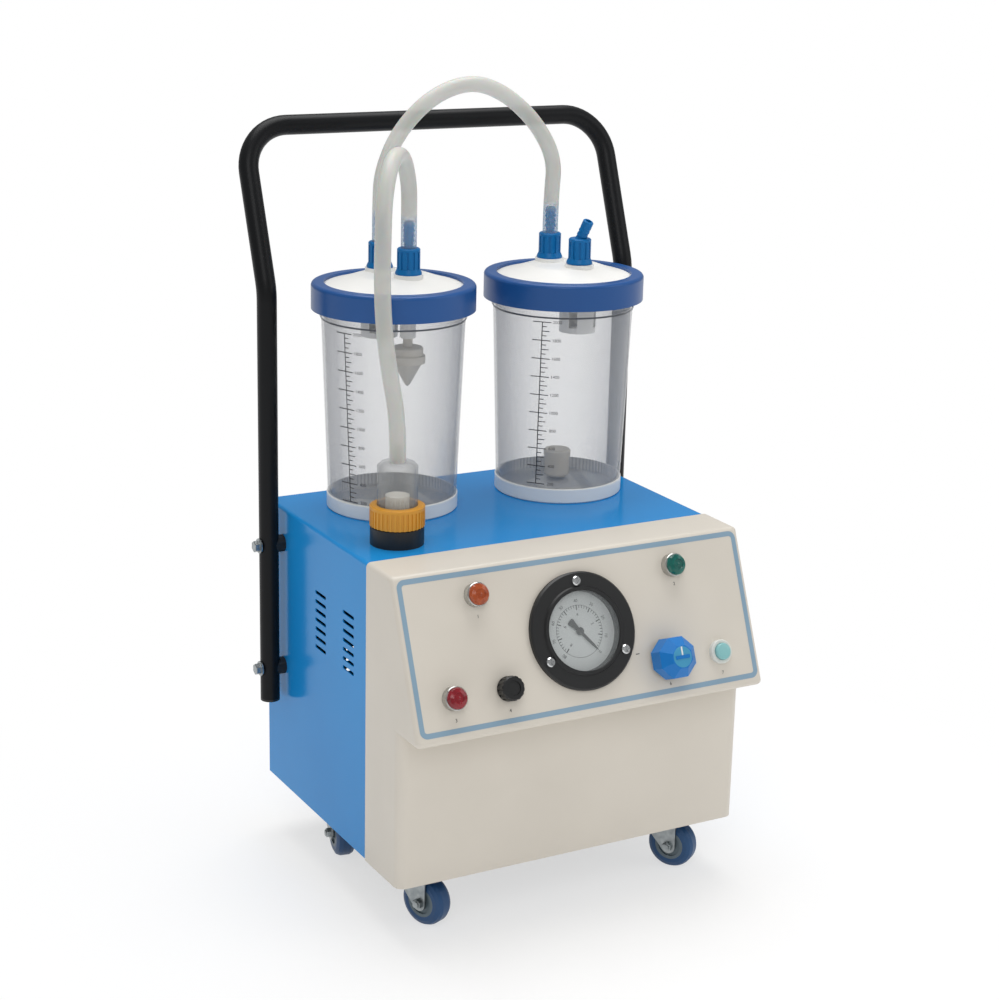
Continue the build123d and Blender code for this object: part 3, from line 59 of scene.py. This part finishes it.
def spinProfile(name, profile, steps=96, bevel=0.0, closed=False):
    # a lathe form about Z from (radius, height) corners in millimetres
    deselectAll()
    bpy.ops.mesh.primitive_plane_add(size=0.001)
    piece = bpy.context.object
    piece.name = name
    bpy.ops.object.mode_set(mode="EDIT")
    bpy.ops.mesh.merge(type="CENTER")
    corners = [Vector((r / 1000, 0, z / 1000)) for r, z in profile]
    if closed:
        corners.append(corners[0])
    bpy.ops.transform.translate(value=corners[0])
    for before, after in zip(corners, corners[1:]):
        bpy.ops.mesh.extrude_region_move(TRANSFORM_OT_translate={"value": after - before})
    bpy.ops.mesh.select_all(action="SELECT")
    bpy.ops.mesh.spin(steps=steps, angle=2 * pi, center=(0, 0, 0), axis=(0, 0, 1))
    bpy.ops.mesh.select_all(action="SELECT")
    bpy.ops.mesh.remove_doubles(threshold=0.000004)
    bpy.ops.mesh.normals_make_consistent(inside=False)
    bpy.ops.object.mode_set(mode="OBJECT")
    if bevel:
        bevelEdges(piece, bevel)
    bpy.ops.object.shade_smooth_by_angle(angle=radians(32))
    return piece


def bevelEdges(piece, width, segments=2, angle=32):
    pick(piece)
    cut = piece.modifiers.new("edges", "BEVEL")
    cut.width = width / 1000
    cut.segments = segments
    cut.angle_limit = radians(angle)
    cut.harden_normals = False
    bpy.ops.object.modifier_apply(modifier=cut.name)


def joinPieces(name, parts):
    deselectAll()
    for part in parts:
        part.select_set(True)
    bpy.context.view_layer.objects.active = parts[0]
    if len(parts) > 1:
        bpy.ops.object.join()
    parts[0].name = name
    return parts[0]


def copyPiece(piece, name):
    twin = piece.copy()
    twin.data = piece.data.copy()
    twin.name = name
    bpy.context.collection.objects.link(twin)
    return twin


# Materials

def linear(hexText, alpha=1.0):
    values = [int(hexText[i:i + 2], 16) / 255 for i in (1, 3, 5)]
    return tuple(v / 12.92 if v <= 0.04045 else ((v + 0.055) / 1.055) ** 2.4 for v in values) + (alpha,)


def addNode(tree, kind, values=None, links=None):
    node = tree.nodes.new(kind)
    for key, value in (values or {}).items():
        if isinstance(key, int) or key in node.inputs:
            node.inputs[key].default_value = value
        else:
            setattr(node, key, value)
    for key, source in (links or {}).items():
        tree.links.new(source, node.inputs[key])
    return node


def startMaterial(name, settings):
    material = bpy.data.materials.new(name)
    material.use_nodes = True
    tree = material.node_tree
    tree.nodes.clear()
    shader = addNode(tree, "ShaderNodeBsdfPrincipled", settings)
    addNode(tree, "ShaderNodeOutputMaterial", links={"Surface": shader.outputs[0]})
    coords = addNode(tree, "ShaderNodeTexCoord")
    return material, tree, shader, coords.outputs["Object"]


def colourDrift(tree, place, first, second, scale, detail=3.0, low=0.35, high=0.65):
    # slow change between two close colours
    noise = addNode(tree, "ShaderNodeTexNoise", {"Scale": scale, "Detail": detail}, {"Vector": place})
    ramp = addNode(tree, "ShaderNodeValToRGB", links={"Fac": noise.outputs["Fac"]})
    ramp.color_ramp.elements[0].position = low
    ramp.color_ramp.elements[0].color = linear(first)
    ramp.color_ramp.elements[1].position = high
    ramp.color_ramp.elements[1].color = linear(second)
    return ramp.outputs["Color"]


def surfaceGrain(tree, shader, place, scale, strength, distance, detail=2.0, kind="ShaderNodeTexNoise"):
    # fine relief of the surface, scale in cells per metre
    values = {"Scale": scale}
    if kind == "ShaderNodeTexNoise":
        values["Detail"] = detail
    grain = addNode(tree, kind, values, {"Vector": place})
    height = grain.outputs["Fac"] if "Fac" in grain.outputs else grain.outputs["Distance"]
    bump = addNode(tree, "ShaderNodeBump", {"Strength": strength, "Distance": distance}, {"Height": height})
    tree.links.new(bump.outputs["Normal"], shader.inputs["Normal"])


def roughnessDrift(tree, shader, place, scale, low, high):
    noise = addNode(tree, "ShaderNodeTexNoise", {"Scale": scale, "Detail": 4.0}, {"Vector": place})
    span = addNode(tree, "ShaderNodeMapRange", {"To Min": low, "To Max": high}, {"Value": noise.outputs["Fac"]})
    tree.links.new(span.outputs["Result"], shader.inputs["Roughness"])


def glossEnamel(name, first, second, roughness=0.16):
    # stoving enamel on sheet steel: even gloss, faint orange peel
    material, tree, shader, place = startMaterial(name, {"Roughness": roughness, "IOR": 1.45, "Specular IOR Level": 0.2})
    tree.links.new(colourDrift(tree, place, first, second, 5.0), shader.inputs["Base Color"])
    surfaceGrain(tree, shader, place, 420.0, 0.05, 0.0006)
    return material


def mouldedPlastic(name, first, second, roughness=0.4, grain=900.0, relief=0.06, sheen=0.5):
    # injection moulded plastic: slight mould grain, soft highlights
    material, tree, shader, place = startMaterial(name, {"IOR": 1.49, "Specular IOR Level": sheen})
    tree.links.new(colourDrift(tree, place, first, second, 9.0), shader.inputs["Base Color"])
    roughnessDrift(tree, shader, place, 40.0, roughness - 0.05, roughness + 0.06)
    surfaceGrain(tree, shader, place, grain, relief, 0.0004)
    return material


def zincPlate(name, first="#8E9496", second="#A9AEAF", roughness=0.34):
    # bright zinc on pressed steel: cloudy grey, softly mirror-like
    material, tree, shader, place = startMaterial(name, {"Metallic": 1.0})
    tree.links.new(colourDrift(tree, place, first, second, 160.0, 5.0), shader.inputs["Base Color"])
    roughnessDrift(tree, shader, place, 220.0, roughness - 0.08, roughness + 0.1)
    surfaceGrain(tree, shader, place, 1400.0, 0.08, 0.0003)
    return material


def clearPlastic(name, tint, roughness=0.04, ior=1.49, cover=0.12, edge="#8A8E94"):
    # clear thin plastic wall: mostly seen through, with bright reflections
    material, tree, shader, place = startMaterial(name, {"Roughness": roughness, "IOR": ior})
    facing = addNode(tree, "ShaderNodeLayerWeight", {"Blend": 0.28})
    wall = colourDrift(tree, place, tint, tint, 30.0)
    # walls seen edge-on are mixed towards the grey edge colour: painted shade for the dark outlines of the clear wall
    shade = addNode(tree, "ShaderNodeMix", {"data_type": "RGBA", 7: linear(edge)}, {0: facing.outputs["Facing"], 6: wall})
    tree.links.new(shade.outputs[2], shader.inputs["Base Color"])
    rim = addNode(tree, "ShaderNodeMapRange", {"To Min": cover, "To Max": 0.75}, {"Value": facing.outputs["Facing"]})
    # flat floors and tops stay clear, walls that turn away get a rim
    normal = addNode(tree, "ShaderNodeNewGeometry")
    split = addNode(tree, "ShaderNodeSeparateXYZ", links={0: normal.outputs["Normal"]})
    level = addNode(tree, "ShaderNodeMath", {"operation": "ABSOLUTE"}, {0: split.outputs["Z"]})
    flat = addNode(tree, "ShaderNodeMapRange", {"From Min": 0.5, "From Max": 1.0, "To Min": 1.0, "To Max": 0.35},
                   {"Value": level.outputs[0]})
    alpha = addNode(tree, "ShaderNodeMath", {"operation": "MULTIPLY"}, {0: rim.outputs["Result"], 1: flat.outputs["Result"]})
    tree.links.new(alpha.outputs[0], shader.inputs["Alpha"])
    return material


print("stage: camera")

cameraSetup = {"place": (-0.91032, -1.61104, 0.89349), "azimuth": -29.19, "elevation": 16.4, "roll": 1.33, "lens": 76.5}

cameraData = bpy.data.cameras.new("camera")
cameraData.lens = cameraSetup["lens"]
cameraData.sensor_width = 36.0
camera = bpy.data.objects.new("camera", cameraData)
bpy.context.collection.objects.link(camera)
azimuth, elevation, roll = (radians(cameraSetup[k]) for k in ("azimuth", "elevation", "roll"))
backward = Vector((sin(azimuth) * cos(elevation), -cos(azimuth) * cos(elevation), sin(elevation)))
level = Vector((cos(azimuth), sin(azimuth), 0))
upright = backward.cross(level)
right = cos(roll) * level + sin(roll) * upright
up = -sin(roll) * level + cos(roll) * upright
turn = Matrix((right, up, backward)).transposed().to_4x4()
camera.matrix_world = Matrix.Translation(cameraSetup["place"]) @ turn
bpy.context.scene.camera = camera
bpy.context.scene.view_settings.view_transform = "Standard"

print("stage: hoses")

hoseSetup = {
    "radius": 7.2,
    "jarLink": [
        (-79.87, 108.15, 573.5), (-79.87, 108.15, 604.5), (-78.87, 107.65, 635.5), (-63.37, 106.65, 670.5),
        (-32.37, 104.65, 701.0), (6.13, 102.65, 714.5), (39.99, 101.22, 704.5), (72.99, 99.22, 677.5),
        (94.49, 97.22, 642.0), (90.99, 96.22, 606.5), (90.99, 96.22, 573.5),
    ],
    "filter": [
        (-71.13, 67.07, 573.5), (-71.13, 67.07, 600.5), (-71.93, 65.57, 631.0), (-87.63, 47.07, 660.0),
        (-113.13, 16.07, 661.5), (-130.63, -5.43, 634.0), (-135.13, -12.43, 598.0), (-136.33, -13.73, 560.0),
        (-134.63, -14.43, 520.0), (-130.13, -17.43, 480.5), (-123.6, -20.8, 441.0), (-123.6, -20.8, 404.0),
    ],
}


def siliconeHose(name):
    # translucent silicone extrusion: milky, soft sheen, faint inner shadow
    material, tree, shader, place = startMaterial(name, {
        "Roughness": 0.32, "IOR": 1.41, "Subsurface Weight": 0.35, "Subsurface Scale": 0.006, "Alpha": 1.0,
    })
    milk = colourDrift(tree, place, "#CFD1CB", "#DADBD6", 14.0)
    facing = addNode(tree, "ShaderNodeLayerWeight", {"Blend": 0.45})
    rim = addNode(tree, "ShaderNodeMapRange", {"To Min": 0.68, "To Max": 0.97}, {"Value": facing.outputs["Facing"]})
    # the ends are stretched over the barbs, which show through
    split = addNode(tree, "ShaderNodeSeparateXYZ", links={0: place})
    low = addNode(tree, "ShaderNodeMapRange", {"From Min": 0.593, "From Max": 0.604, "To Min": 1.0, "To Max": 0.0},
                  {"Value": split.outputs["Z"]})
    side = addNode(tree, "ShaderNodeMath", {"operation": "GREATER_THAN", 1: -0.1}, {0: split.outputs["X"]})
    end = addNode(tree, "ShaderNodeMath", {"operation": "MULTIPLY"}, {0: low.outputs["Result"], 1: side.outputs[0]})
    thin = addNode(tree, "ShaderNodeMath", {"operation": "MULTIPLY", 1: 0.26}, {0: end.outputs[0]})
    cover = addNode(tree, "ShaderNodeMath", {"operation": "SUBTRACT"}, {0: rim.outputs["Result"], 1: thin.outputs[0]})
    tree.links.new(cover.outputs[0], shader.inputs["Alpha"])
    tint = addNode(tree, "ShaderNodeMath", {"operation": "MULTIPLY", 1: 0.65}, {0: end.outputs[0]})
    mixed = addNode(tree, "ShaderNodeMix", {"data_type": "RGBA", 7: linear("#6FA9DC")}, {0: tint.outputs[0], 6: milk})
    tree.links.new(mixed.outputs[2], shader.inputs["Base Color"])
    surfaceGrain(tree, shader, place, 160.0, 0.06, 0.0006)
    return material


hoseMaterial = siliconeHose("milky silicone tube")


def makeHose(name, points, node):
    curve = bpy.data.curves.new(name, "CURVE")
    curve.dimensions = "3D"
    curve.bevel_depth = hoseSetup["radius"] / 1000
    curve.bevel_resolution = 8
    curve.resolution_u = 24
    curve.use_fill_caps = True
    spline = curve.splines.new("NURBS")
    spline.points.add(len(points) - 1)
    for point, place in zip(spline.points, points):
        point.co = (place[0] / 1000, place[1] / 1000, place[2] / 1000, 1)
    spline.order_u = 3
    spline.use_endpoint_u = True
    hose = bpy.data.objects.new(name, curve)
    bpy.context.collection.objects.link(hose)
    curve.materials.append(hoseMaterial)
    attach(hose, "cabinet")
    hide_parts(node)
    return hose


jarLinkHose = makeHose("jarLinkHose", hoseSetup["jarLink"], "jar_link_hose")
filterHose = makeHose("filterHose", hoseSetup["filter"], "filter_hose")

print("stage: materials")

cabinetBlue = glossEnamel("azure stoving enamel", "#1C8AD2", "#2292DA", 0.16)
trayGrey = glossEnamel("grey chassis paint", "#6E7478", "#757B7F", 0.4)
creamAbs = mouldedPlastic("cream ABS moulding", "#D9D2C6", "#DED7CB", 0.36, 700.0, 0.04)
borderPrint = mouldedPlastic("steel blue screen print", "#86A3B8", "#8DA9BD", 0.42)
blackSteel = glossEnamel("black tube enamel", "#131416", "#17181A", 0.36)
blackPlastic = mouldedPlastic("black nylon", "#141516", "#1A1B1C", 0.42)
whitePlastic = mouldedPlastic("white polypropylene", "#F3F2EE", "#F7F6F2", 0.34)
ringBlue = mouldedPlastic("dark blue polypropylene", "#1A5090", "#1F5597", 0.33, sheen=0.4)
connectorBlue = mouldedPlastic("bright blue nylon", "#0468A8", "#086FB0", 0.36, sheen=0.25)
yellowPlastic = mouldedPlastic("ochre yellow ABS", "#D8962A", "#DE9D31", 0.4)
sealRubber = mouldedPlastic("pale silicone seal", "#C9C7BF", "#D0CEC6", 0.55)
darkRubber = mouldedPlastic("black rubber", "#151515", "#1B1B1B", 0.7)
paperElement = mouldedPlastic("pleated filter paper", "#E4DFD2", "#ECE8DD", 0.85)
ivoryPlastic = mouldedPlastic("ivory acetal float", "#CFC9BC", "#D8D2C6", 0.5)
aquaButton = mouldedPlastic("pale aqua acrylic button", "#86BFC0", "#8CC5C6", 0.3)
ringWhite = mouldedPlastic("whitish bezel plastic", "#D6D8D2", "#DEE0DA", 0.34)
knobBlue = mouldedPlastic("bright blue ABS knob", "#0C74C2", "#107BCA", 0.3, sheen=0.35)
zinc = zincPlate("bright zinc plate")
bezelMetal = zincPlate("satin chrome bezel", "#B4B4B1", "#C6C6C3", 0.28)
chromeScrew = zincPlate("polished screw steel", "#C9CBCC", "#DADCDD", 0.14)
castAluminium = zincPlate("cast aluminium", "#4E5052", "#5A5C5E", 0.6)
valveBrass = zincPlate("turned brass", "#A98A4E", "#B8985A", 0.32)
# the edge colours of these clear parts are painted shade on their walls seen edge-on
jarClear = clearPlastic("clear polycarbonate jar", "#C9CCD2")
domeClear = clearPlastic("clear filter dome", "#C6C8C7", 0.06, 1.49, 0.14, "#6E7072")
gaugeClear = clearPlastic("flat gauge glass", "#DDE3E4", 0.02, 1.5, 0.05)
dialWhite = mouldedPlastic("white dial enamel", "#D6DAD9", "#DBDFDE", 0.5)
needleGrey = mouldedPlastic("dark grey needle paint", "#3A3B3B", "#424343", 0.45)

nodeMaterials = {
    "cabinet_cover": cabinetBlue, "rear_panel": cabinetBlue, "base_tray": trayGrey, "front_moulding": creamAbs,
    "cabinet_screws": zinc, "power_inlet": blackPlastic, "lamp_bezels": bezelMetal, "fuse_holder": blackPlastic,
    "fuse_cap": blackPlastic, "fuse_cartridge": gaugeClear, "gauge_case": blackPlastic, "gauge_dial": dialWhite,
    "gauge_glass": gaugeClear, "gauge_needle": needleGrey, "gauge_screws": chromeScrew,
    "regulator_valve": blackPlastic, "control_knob": knobBlue, "switch_body": ringWhite,
    "push_button": aquaButton, "handle": blackSteel, "handle_spacers": blackPlastic, "handle_bolts": zinc,
    "castor_plates": zinc, "castor_screws": zinc, "jar_feet": whitePlastic, "jar_seals": sealRubber,
    "jar_lids": whitePlastic, "jar_left": jarClear, "jar_right": jarClear, "jar_ring_left": ringBlue,
    "jar_ring_right": ringBlue, "hose_connectors": connectorBlue, "suction_elbow": connectorBlue,
    "float_valve": ivoryPlastic, "float_cup": ivoryPlastic, "filter_base": blackPlastic,
    "filter_ring": yellowPlastic, "filter_dome": domeClear, "filter_element": paperElement,
    "motor_casing": castAluminium, "motor_shaft": zinc, "cooling_fan": blackPlastic,
    "pump_cylinder": castAluminium, "pump_rotor": castAluminium, "pump_vanes": blackPlastic,
    "pump_mounts": darkRubber, "inner_tubing": darkRubber,
}


def tyreOnHub(name, wheel, hubReach=0.0165):
    # blue tyre with a grey nylon hub about the middle of the wheel
    corners = [Vector(corner) for corner in wheel.bound_box]
    middle = sum(corners, Vector()) / len(corners)
    material, tree, shader, place = startMaterial(name, {"Roughness": 0.42, "IOR": 1.49})
    reach = addNode(tree, "ShaderNodeVectorMath", {"operation": "DISTANCE", 1: middle}, {0: place})
    inside = addNode(tree, "ShaderNodeMath", {"operation": "LESS_THAN", 1: hubReach}, {0: reach.outputs["Value"]})
    tyre = colourDrift(tree, place, "#1C4876", "#214F7D", 9.0)
    hub = colourDrift(tree, place, "#5F6E76", "#69777F", 9.0)
    mix = addNode(tree, "ShaderNodeMix", {"data_type": "RGBA"}, {0: inside.outputs[0], 6: tyre, 7: hub})
    tree.links.new(mix.outputs[2], shader.inputs["Base Color"])
    surfaceGrain(tree, shader, place, 900.0, 0.06, 0.0004)
    return material


for corner in ("fl", "fr", "rl", "rr"):
    nodeMaterials["castor_fork_" + corner] = zinc
    nodeMaterials["castor_wheel_" + corner] = tyreOnHub("blue tyre " + corner, nodes["castor_wheel_" + corner])


def lampMaterial(name, shade, glow):
    # dyed acrylic lens: deep colour, sharp highlights
    material, tree, shader, place = startMaterial(name, {"Roughness": 0.14, "IOR": 1.49, "Transmission Weight": 0.15})
    tree.links.new(colourDrift(tree, place, shade, glow, 120.0), shader.inputs["Base Color"])
    return material


nodeMaterials["lamp_lens_amber"] = lampMaterial("amber acrylic lens", "#A04420", "#BE5A2C")
nodeMaterials["lamp_lens_green"] = lampMaterial("green acrylic lens", "#0C5C53", "#16786C")
nodeMaterials["lamp_lens_red"] = lampMaterial("red acrylic lens", "#7C1520", "#9C222E")

for nodeName, material in nodeMaterials.items():
    part = nodes[nodeName]
    for index in range(len(part.material_slots)):
        part.material_slots[index].material = material

print("stage: console print")

consoleSetup = {"origin": (0, -162.59, 206.333), "tilt": 22.2, "borderHalf": 170, "borderTop": 133.5, "borderWidth": 4.5, "corner": 7}
tilt = radians(consoleSetup["tilt"])
consoleMatrix = Matrix.Translation(Vector(consoleSetup["origin"]) / 1000) @ Matrix((
    (1, 0, 0, 0),
    (0, sin(tilt), -cos(tilt), 0),
    (0, cos(tilt), sin(tilt), 0),
    (0, 0, 0, 1),
))


def makeBorder():
    half, top, width = consoleSetup["borderHalf"] / 1000, consoleSetup["borderTop"] / 1000, consoleSetup["borderWidth"] / 1000
    deselectAll()
    bpy.ops.mesh.primitive_plane_add(size=1)
    border = bpy.context.object
    border.name = "consoleBorder"
    border.scale = (2 * half, top, 1)
    border.location = (0, top / 2, 0.00012)
    bpy.ops.object.transform_apply(location=True, rotation=True, scale=True)
    bpy.ops.object.mode_set(mode="EDIT")
    bpy.ops.mesh.bevel(offset=consoleSetup["corner"] / 1000, segments=8, affect="VERTICES")
    bpy.ops.mesh.select_all(action="SELECT")
    bpy.ops.mesh.inset(thickness=width, depth=0)
    bpy.ops.mesh.delete(type="FACE")
    bpy.ops.object.mode_set(mode="OBJECT")
    applyPlace(border, consoleMatrix)
    border.data.materials.append(borderPrint)
    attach(border, "cabinet")
    return border


makeBorder()


def flatText(name, words, size, matrix):
    # plain numbers as a flat print, turned to mesh
    deselectAll()
    bpy.ops.object.text_add()
    label = bpy.context.object
    label.data.body = words
    label.data.size = size / 1000
    label.data.align_x = "CENTER"
    label.data.align_y = "CENTER"
    label.data.resolution_u = 3
    bpy.ops.object.convert(target="MESH")
    label = bpy.context.object
    label.name = name
    applyPlace(label, matrix)
    return label


def flatBar(width, height, matrix):
    deselectAll()
    bpy.ops.mesh.primitive_plane_add(size=1)
    bar = bpy.context.object
    bar.scale = (width / 1000, height / 1000, 1)
    bpy.ops.object.transform_apply(location=True, rotation=True, scale=True)
    applyPlace(bar, matrix)
    return bar


blackInk = mouldedPlastic("black screen ink", "#26272A", "#2E2F32", 0.5)
greyInk = mouldedPlastic("grey dial ink", "#353738", "#3E4041", 0.5)


def onConsole(x, y, height=0.15):
    return consoleMatrix @ Matrix.Translation((x / 1000, y / 1000, height / 1000))


markSetup = {"size": 4.2, "places": {"1": (-99.5, 93.5), "2": (98.0, 94.5), "3": (-135.0, 10.8), "4": (-83.3, 10.8), "6": (77.5, 8.3), "7": (133.2, 9.5)}}
marks = [flatText("mark", word, markSetup["size"], onConsole(*place))
         for word, place in markSetup["places"].items()]
marks.append(flatBar(3.6, 0.7, onConsole(49.0, 39.0)))
consoleMarks = joinPieces("consoleMarks", marks)
consoleMarks.data.materials.append(blackInk)
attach(consoleMarks, "cabinet")

print("stage: knob face")

knobSetup = {"place": (77.5, 30.5), "top": 26.8, "radius": 13.2, "edge": 9.4, "pointer": (1.5, 9.0)}
knobFaceBlue = mouldedPlastic("lighter blue knob face", "#3E97BF", "#459EC6", 0.35)
pointerWhite = mouldedPlastic("white pointer ink", "#EDEDEA", "#F2F2EF", 0.5)


def makeKnobFace():
    top = knobSetup["top"]
    x, y = knobSetup["place"]
    face = spinProfile("knobFace", [(0, top + 0.35), (knobSetup["edge"] - 0.5, top + 0.3), (knobSetup["edge"], top - 0.1),
                                    (knobSetup["edge"], top - 0.6), (0, top - 0.6)], 64)
    applyPlace(face, onConsole(x, y, 0))
    face.data.materials.append(knobFaceBlue)
    width, length = knobSetup["pointer"]
    pointer = flatBar(width, length, onConsole(x, y + knobSetup["edge"] - length / 2 - 0.3, top + 0.45))
    pointer.name = "knobPointer"
    pointer.data.materials.append(pointerWhite)
    for piece in (face, pointer):
        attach(piece, "control_knob")


makeKnobFace()

print("stage: gauge dial")

dialSetup = {"place": (-3.0, 67.0), "face": -3.5, "zero": -50.0, "sweep": 276.0, "outer": 26.5, "inner": 19.5, "tickRing": 22.8}


def dialMatrix(angle, radius, upright=True, lift=0.12):
    spot = Matrix.Translation((radius * cos(angle) / 1000, radius * sin(angle) / 1000, (dialSetup["face"] + lift) / 1000))
    x, y = dialSetup["place"]
    facing = Matrix.Rotation(angle - pi / 2, 4, "Z") if not upright else Matrix.Identity(4)
    return consoleMatrix @ Matrix.Translation((x / 1000, y / 1000, 0)) @ spot @ facing


def makeDialPrint():
    prints = []
    for step in range(41):
        angle = radians(dialSetup["zero"] + dialSetup["sweep"] * step / 40)
        long = 4.2 if step % 5 == 0 else 2.4
        radius = dialSetup["tickRing"] - long / 2
        prints.append(flatBar(0.5 if step % 5 else 0.85, long, dialMatrix(angle, radius, False)))
    for step in range(9):
        angle = radians(dialSetup["zero"] + dialSetup["sweep"] * step / 8)
        tilted = dialMatrix(angle, dialSetup["outer"], False)
        prints.append(flatText("number", str(step * 10), 4.0, tilted))
        if step % 2 == 0:
            low = dialMatrix(angle, dialSetup["inner"] - 5, False)
            prints.append(flatText("number", str(step), 4.0, low))
    deselectAll()
    bpy.ops.mesh.primitive_circle_add(vertices=96, radius=0.0229, fill_type="NGON")
    ring = bpy.context.object
    bpy.ops.object.mode_set(mode="EDIT")
    bpy.ops.mesh.inset(thickness=0.0003)
    bpy.ops.mesh.delete(type="FACE")
    bpy.ops.object.mode_set(mode="OBJECT")
    applyPlace(ring, dialMatrix(0, 0))
    prints.append(ring)
    dialPrint = joinPieces("dialPrint", prints)
    dialPrint.data.materials.clear()
    dialPrint.data.materials.append(greyInk)
    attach(dialPrint, "cabinet")
    return dialPrint


makeDialPrint()

print("stage: jar graduations")

jarSetup = {
    "left": {"axis": (-75.5, 87.61), "topAngle": -157.6, "lowAngle": -155.0, "top": 502.3, "low": 347.0},
    "right": {"axis": (95.0, 75.61), "topAngle": -136.8, "lowAngle": -140.6, "top": 504.0, "low": 349.6},
}


def jarRadius(level):
    return 59.5 + 6.0 * (level - 345) / 164


def onJar(side, angle, height, across=0.0, lift=0.12):
    # a flat spot on the outside of a jar, X to the right and Y up
    x, y = jarSetup[side]["axis"]
    radius = jarRadius(height) + lift
    turnRound = radians(angle) + across / radius
    outward = Vector((cos(turnRound), sin(turnRound), -0.036)).normalized()
    across = Vector((-sin(turnRound), cos(turnRound), 0))
    rise = outward.cross(across)
    spot = Vector((x + radius * cos(turnRound), y + radius * sin(turnRound), height)) / 1000
    matrix = Matrix((across, rise, outward)).transposed().to_4x4()
    return Matrix.Translation(spot) @ matrix


def makeGraduations(side):
    setup = jarSetup[side]
    count = 36
    prints = []
    for step in range(count + 1):
        share = step / count
        height = setup["top"] + (setup["low"] - setup["top"]) * share
        angle = setup["topAngle"] + (setup["lowAngle"] - setup["topAngle"]) * share
        if step < count:
            gap = (setup["top"] - setup["low"]) / count
            prints.append(flatBar(0.9, gap * 1.02, onJar(side, angle, height - gap / 2)))
        if step % 4 == 0:
            prints.append(flatBar(17.5, 0.8, onJar(side, angle, height, 0.0, 0.6)))
            number = str(2000 - step // 4 * 200)
            prints.append(flatText("number", number, 4.2, onJar(side, angle, height, 14.0)))
        else:
            long = 7.0 if step % 2 == 0 else 4.4
            prints.append(flatBar(long, 0.75, onJar(side, angle, height, long / 2, 0.15)))
    graduations = joinPieces("graduations" + side.capitalize(), prints)
    graduations.data.materials.clear()
    graduations.data.materials.append(blackInk)
    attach(graduations, "cabinet")
    return graduations


def makeBeadLine(side):
    # the moulded bead round the jar, seen as a dark line: a dark ring laid on it as painted shade, for the dark edge
    # that total reflection gives in the clear wall
    x, y = jarSetup[side]["axis"]
    radius = jarRadius(beadLevel)
    line = spinProfile("beadShadeLine" + side.capitalize(), [
        (radius - 0.2, beadLevel - 0.7), (radius + 0.5, beadLevel - 0.7), (radius + 0.5, beadLevel + 0.7), (radius - 0.2, beadLevel + 0.7),
    ], closed=True)
    applyPlace(line, Matrix.Translation((x / 1000, y / 1000, 0)))
    line.data.materials.append(beadPaintedShade)
    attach(line, "cabinet")


beadLevel = 508.0
# dark material of the bead ring: painted shade, not a colour of the jar
beadPaintedShade = mouldedPlastic("painted shade line on jar bead", "#4A4E55", "#53575E", 0.3)
for side in jarSetup:
    makeGraduations(side)
    makeBeadLine(side)

print("stage: floor and light")


def floorMaterial(name):
    # matt white, which goes over to plain white away from the machine's shadow
    material, tree, shader, place = startMaterial(name, {"Base Color": linear("#FFFFFF"), "Roughness": 0.9})
    path = addNode(tree, "ShaderNodeLightPath")
    seen = addNode(tree, "ShaderNodeMath", {"operation": "MAXIMUM"},
                   {0: path.outputs["Is Camera Ray"], 1: path.outputs["Is Glossy Ray"]})
    seen = addNode(tree, "ShaderNodeMath", {"operation": "MAXIMUM"},
                   {0: seen.outputs[0], 1: path.outputs["Is Transmission Ray"]})
    away = addNode(tree, "ShaderNodeVectorMath", {"operation": "LENGTH"}, {0: place})
    share = addNode(tree, "ShaderNodeMapRange", {"From Min": 0.22, "From Max": 0.6, "To Min": 0.62, "To Max": 1.0},
                    {"Value": away.outputs["Value"]})
    share = addNode(tree, "ShaderNodeMath", {"operation": "MULTIPLY"}, {0: seen.outputs[0], 1: share.outputs["Result"]})
    glow = addNode(tree, "ShaderNodeEmission", {"Color": linear("#FFFFFF"), "Strength": 1.0})
    mix = addNode(tree, "ShaderNodeMixShader", links={0: share.outputs[0], 1: shader.outputs[0], 2: glow.outputs[0]})
    output = next(node for node in tree.nodes if node.type == "OUTPUT_MATERIAL")
    tree.links.new(mix.outputs[0], output.inputs["Surface"])
    return material


deselectAll()
bpy.ops.mesh.primitive_plane_add(size=14, location=(0, 0, 0))
floor = bpy.context.object
floor.name = "studioFloor"
floor.data.materials.append(floorMaterial("matt white floor"))

world = bpy.data.worlds.new("studio")
bpy.context.scene.world = world
world.use_nodes = True
world.node_tree.nodes.clear()
dim = addNode(world.node_tree, "ShaderNodeBackground", {"Color": linear("#FFFFFF"), "Strength": 0.36})
bright = addNode(world.node_tree, "ShaderNodeBackground", {"Color": linear("#FFFFFF"), "Strength": 1.0})
worldPath = addNode(world.node_tree, "ShaderNodeLightPath")
worldMix = addNode(world.node_tree, "ShaderNodeMixShader", links={
    "Fac": worldPath.outputs["Is Camera Ray"], 1: dim.outputs[0], 2: bright.outputs[0],
})
addNode(world.node_tree, "ShaderNodeOutputWorld", links={"Surface": worldMix.outputs[0]})

lampSetup = {
    "keyLight": {"place": (-1.6, -2.6, 2.6), "size": 1.8, "power": 27},
    "fillLight": {"place": (2.4, -1.8, 1.8), "size": 2.0, "power": 14},
    "topLight": {"place": (0.2, 0.6, 3.2), "size": 2.4, "power": 72},
}
for name, setup in lampSetup.items():
    lamp = bpy.data.lights.new(name, "AREA")
    lamp.size = setup["size"]
    lamp.energy = setup["power"]
    lampObject = bpy.data.objects.new(name, lamp)
    bpy.context.collection.objects.link(lampObject)
    lampObject.location = setup["place"]
    aim = Vector((0, 0, 0.35)) - Vector(setup["place"])
    lampObject.rotation_euler = aim.to_track_quat("-Z", "Y").to_euler()
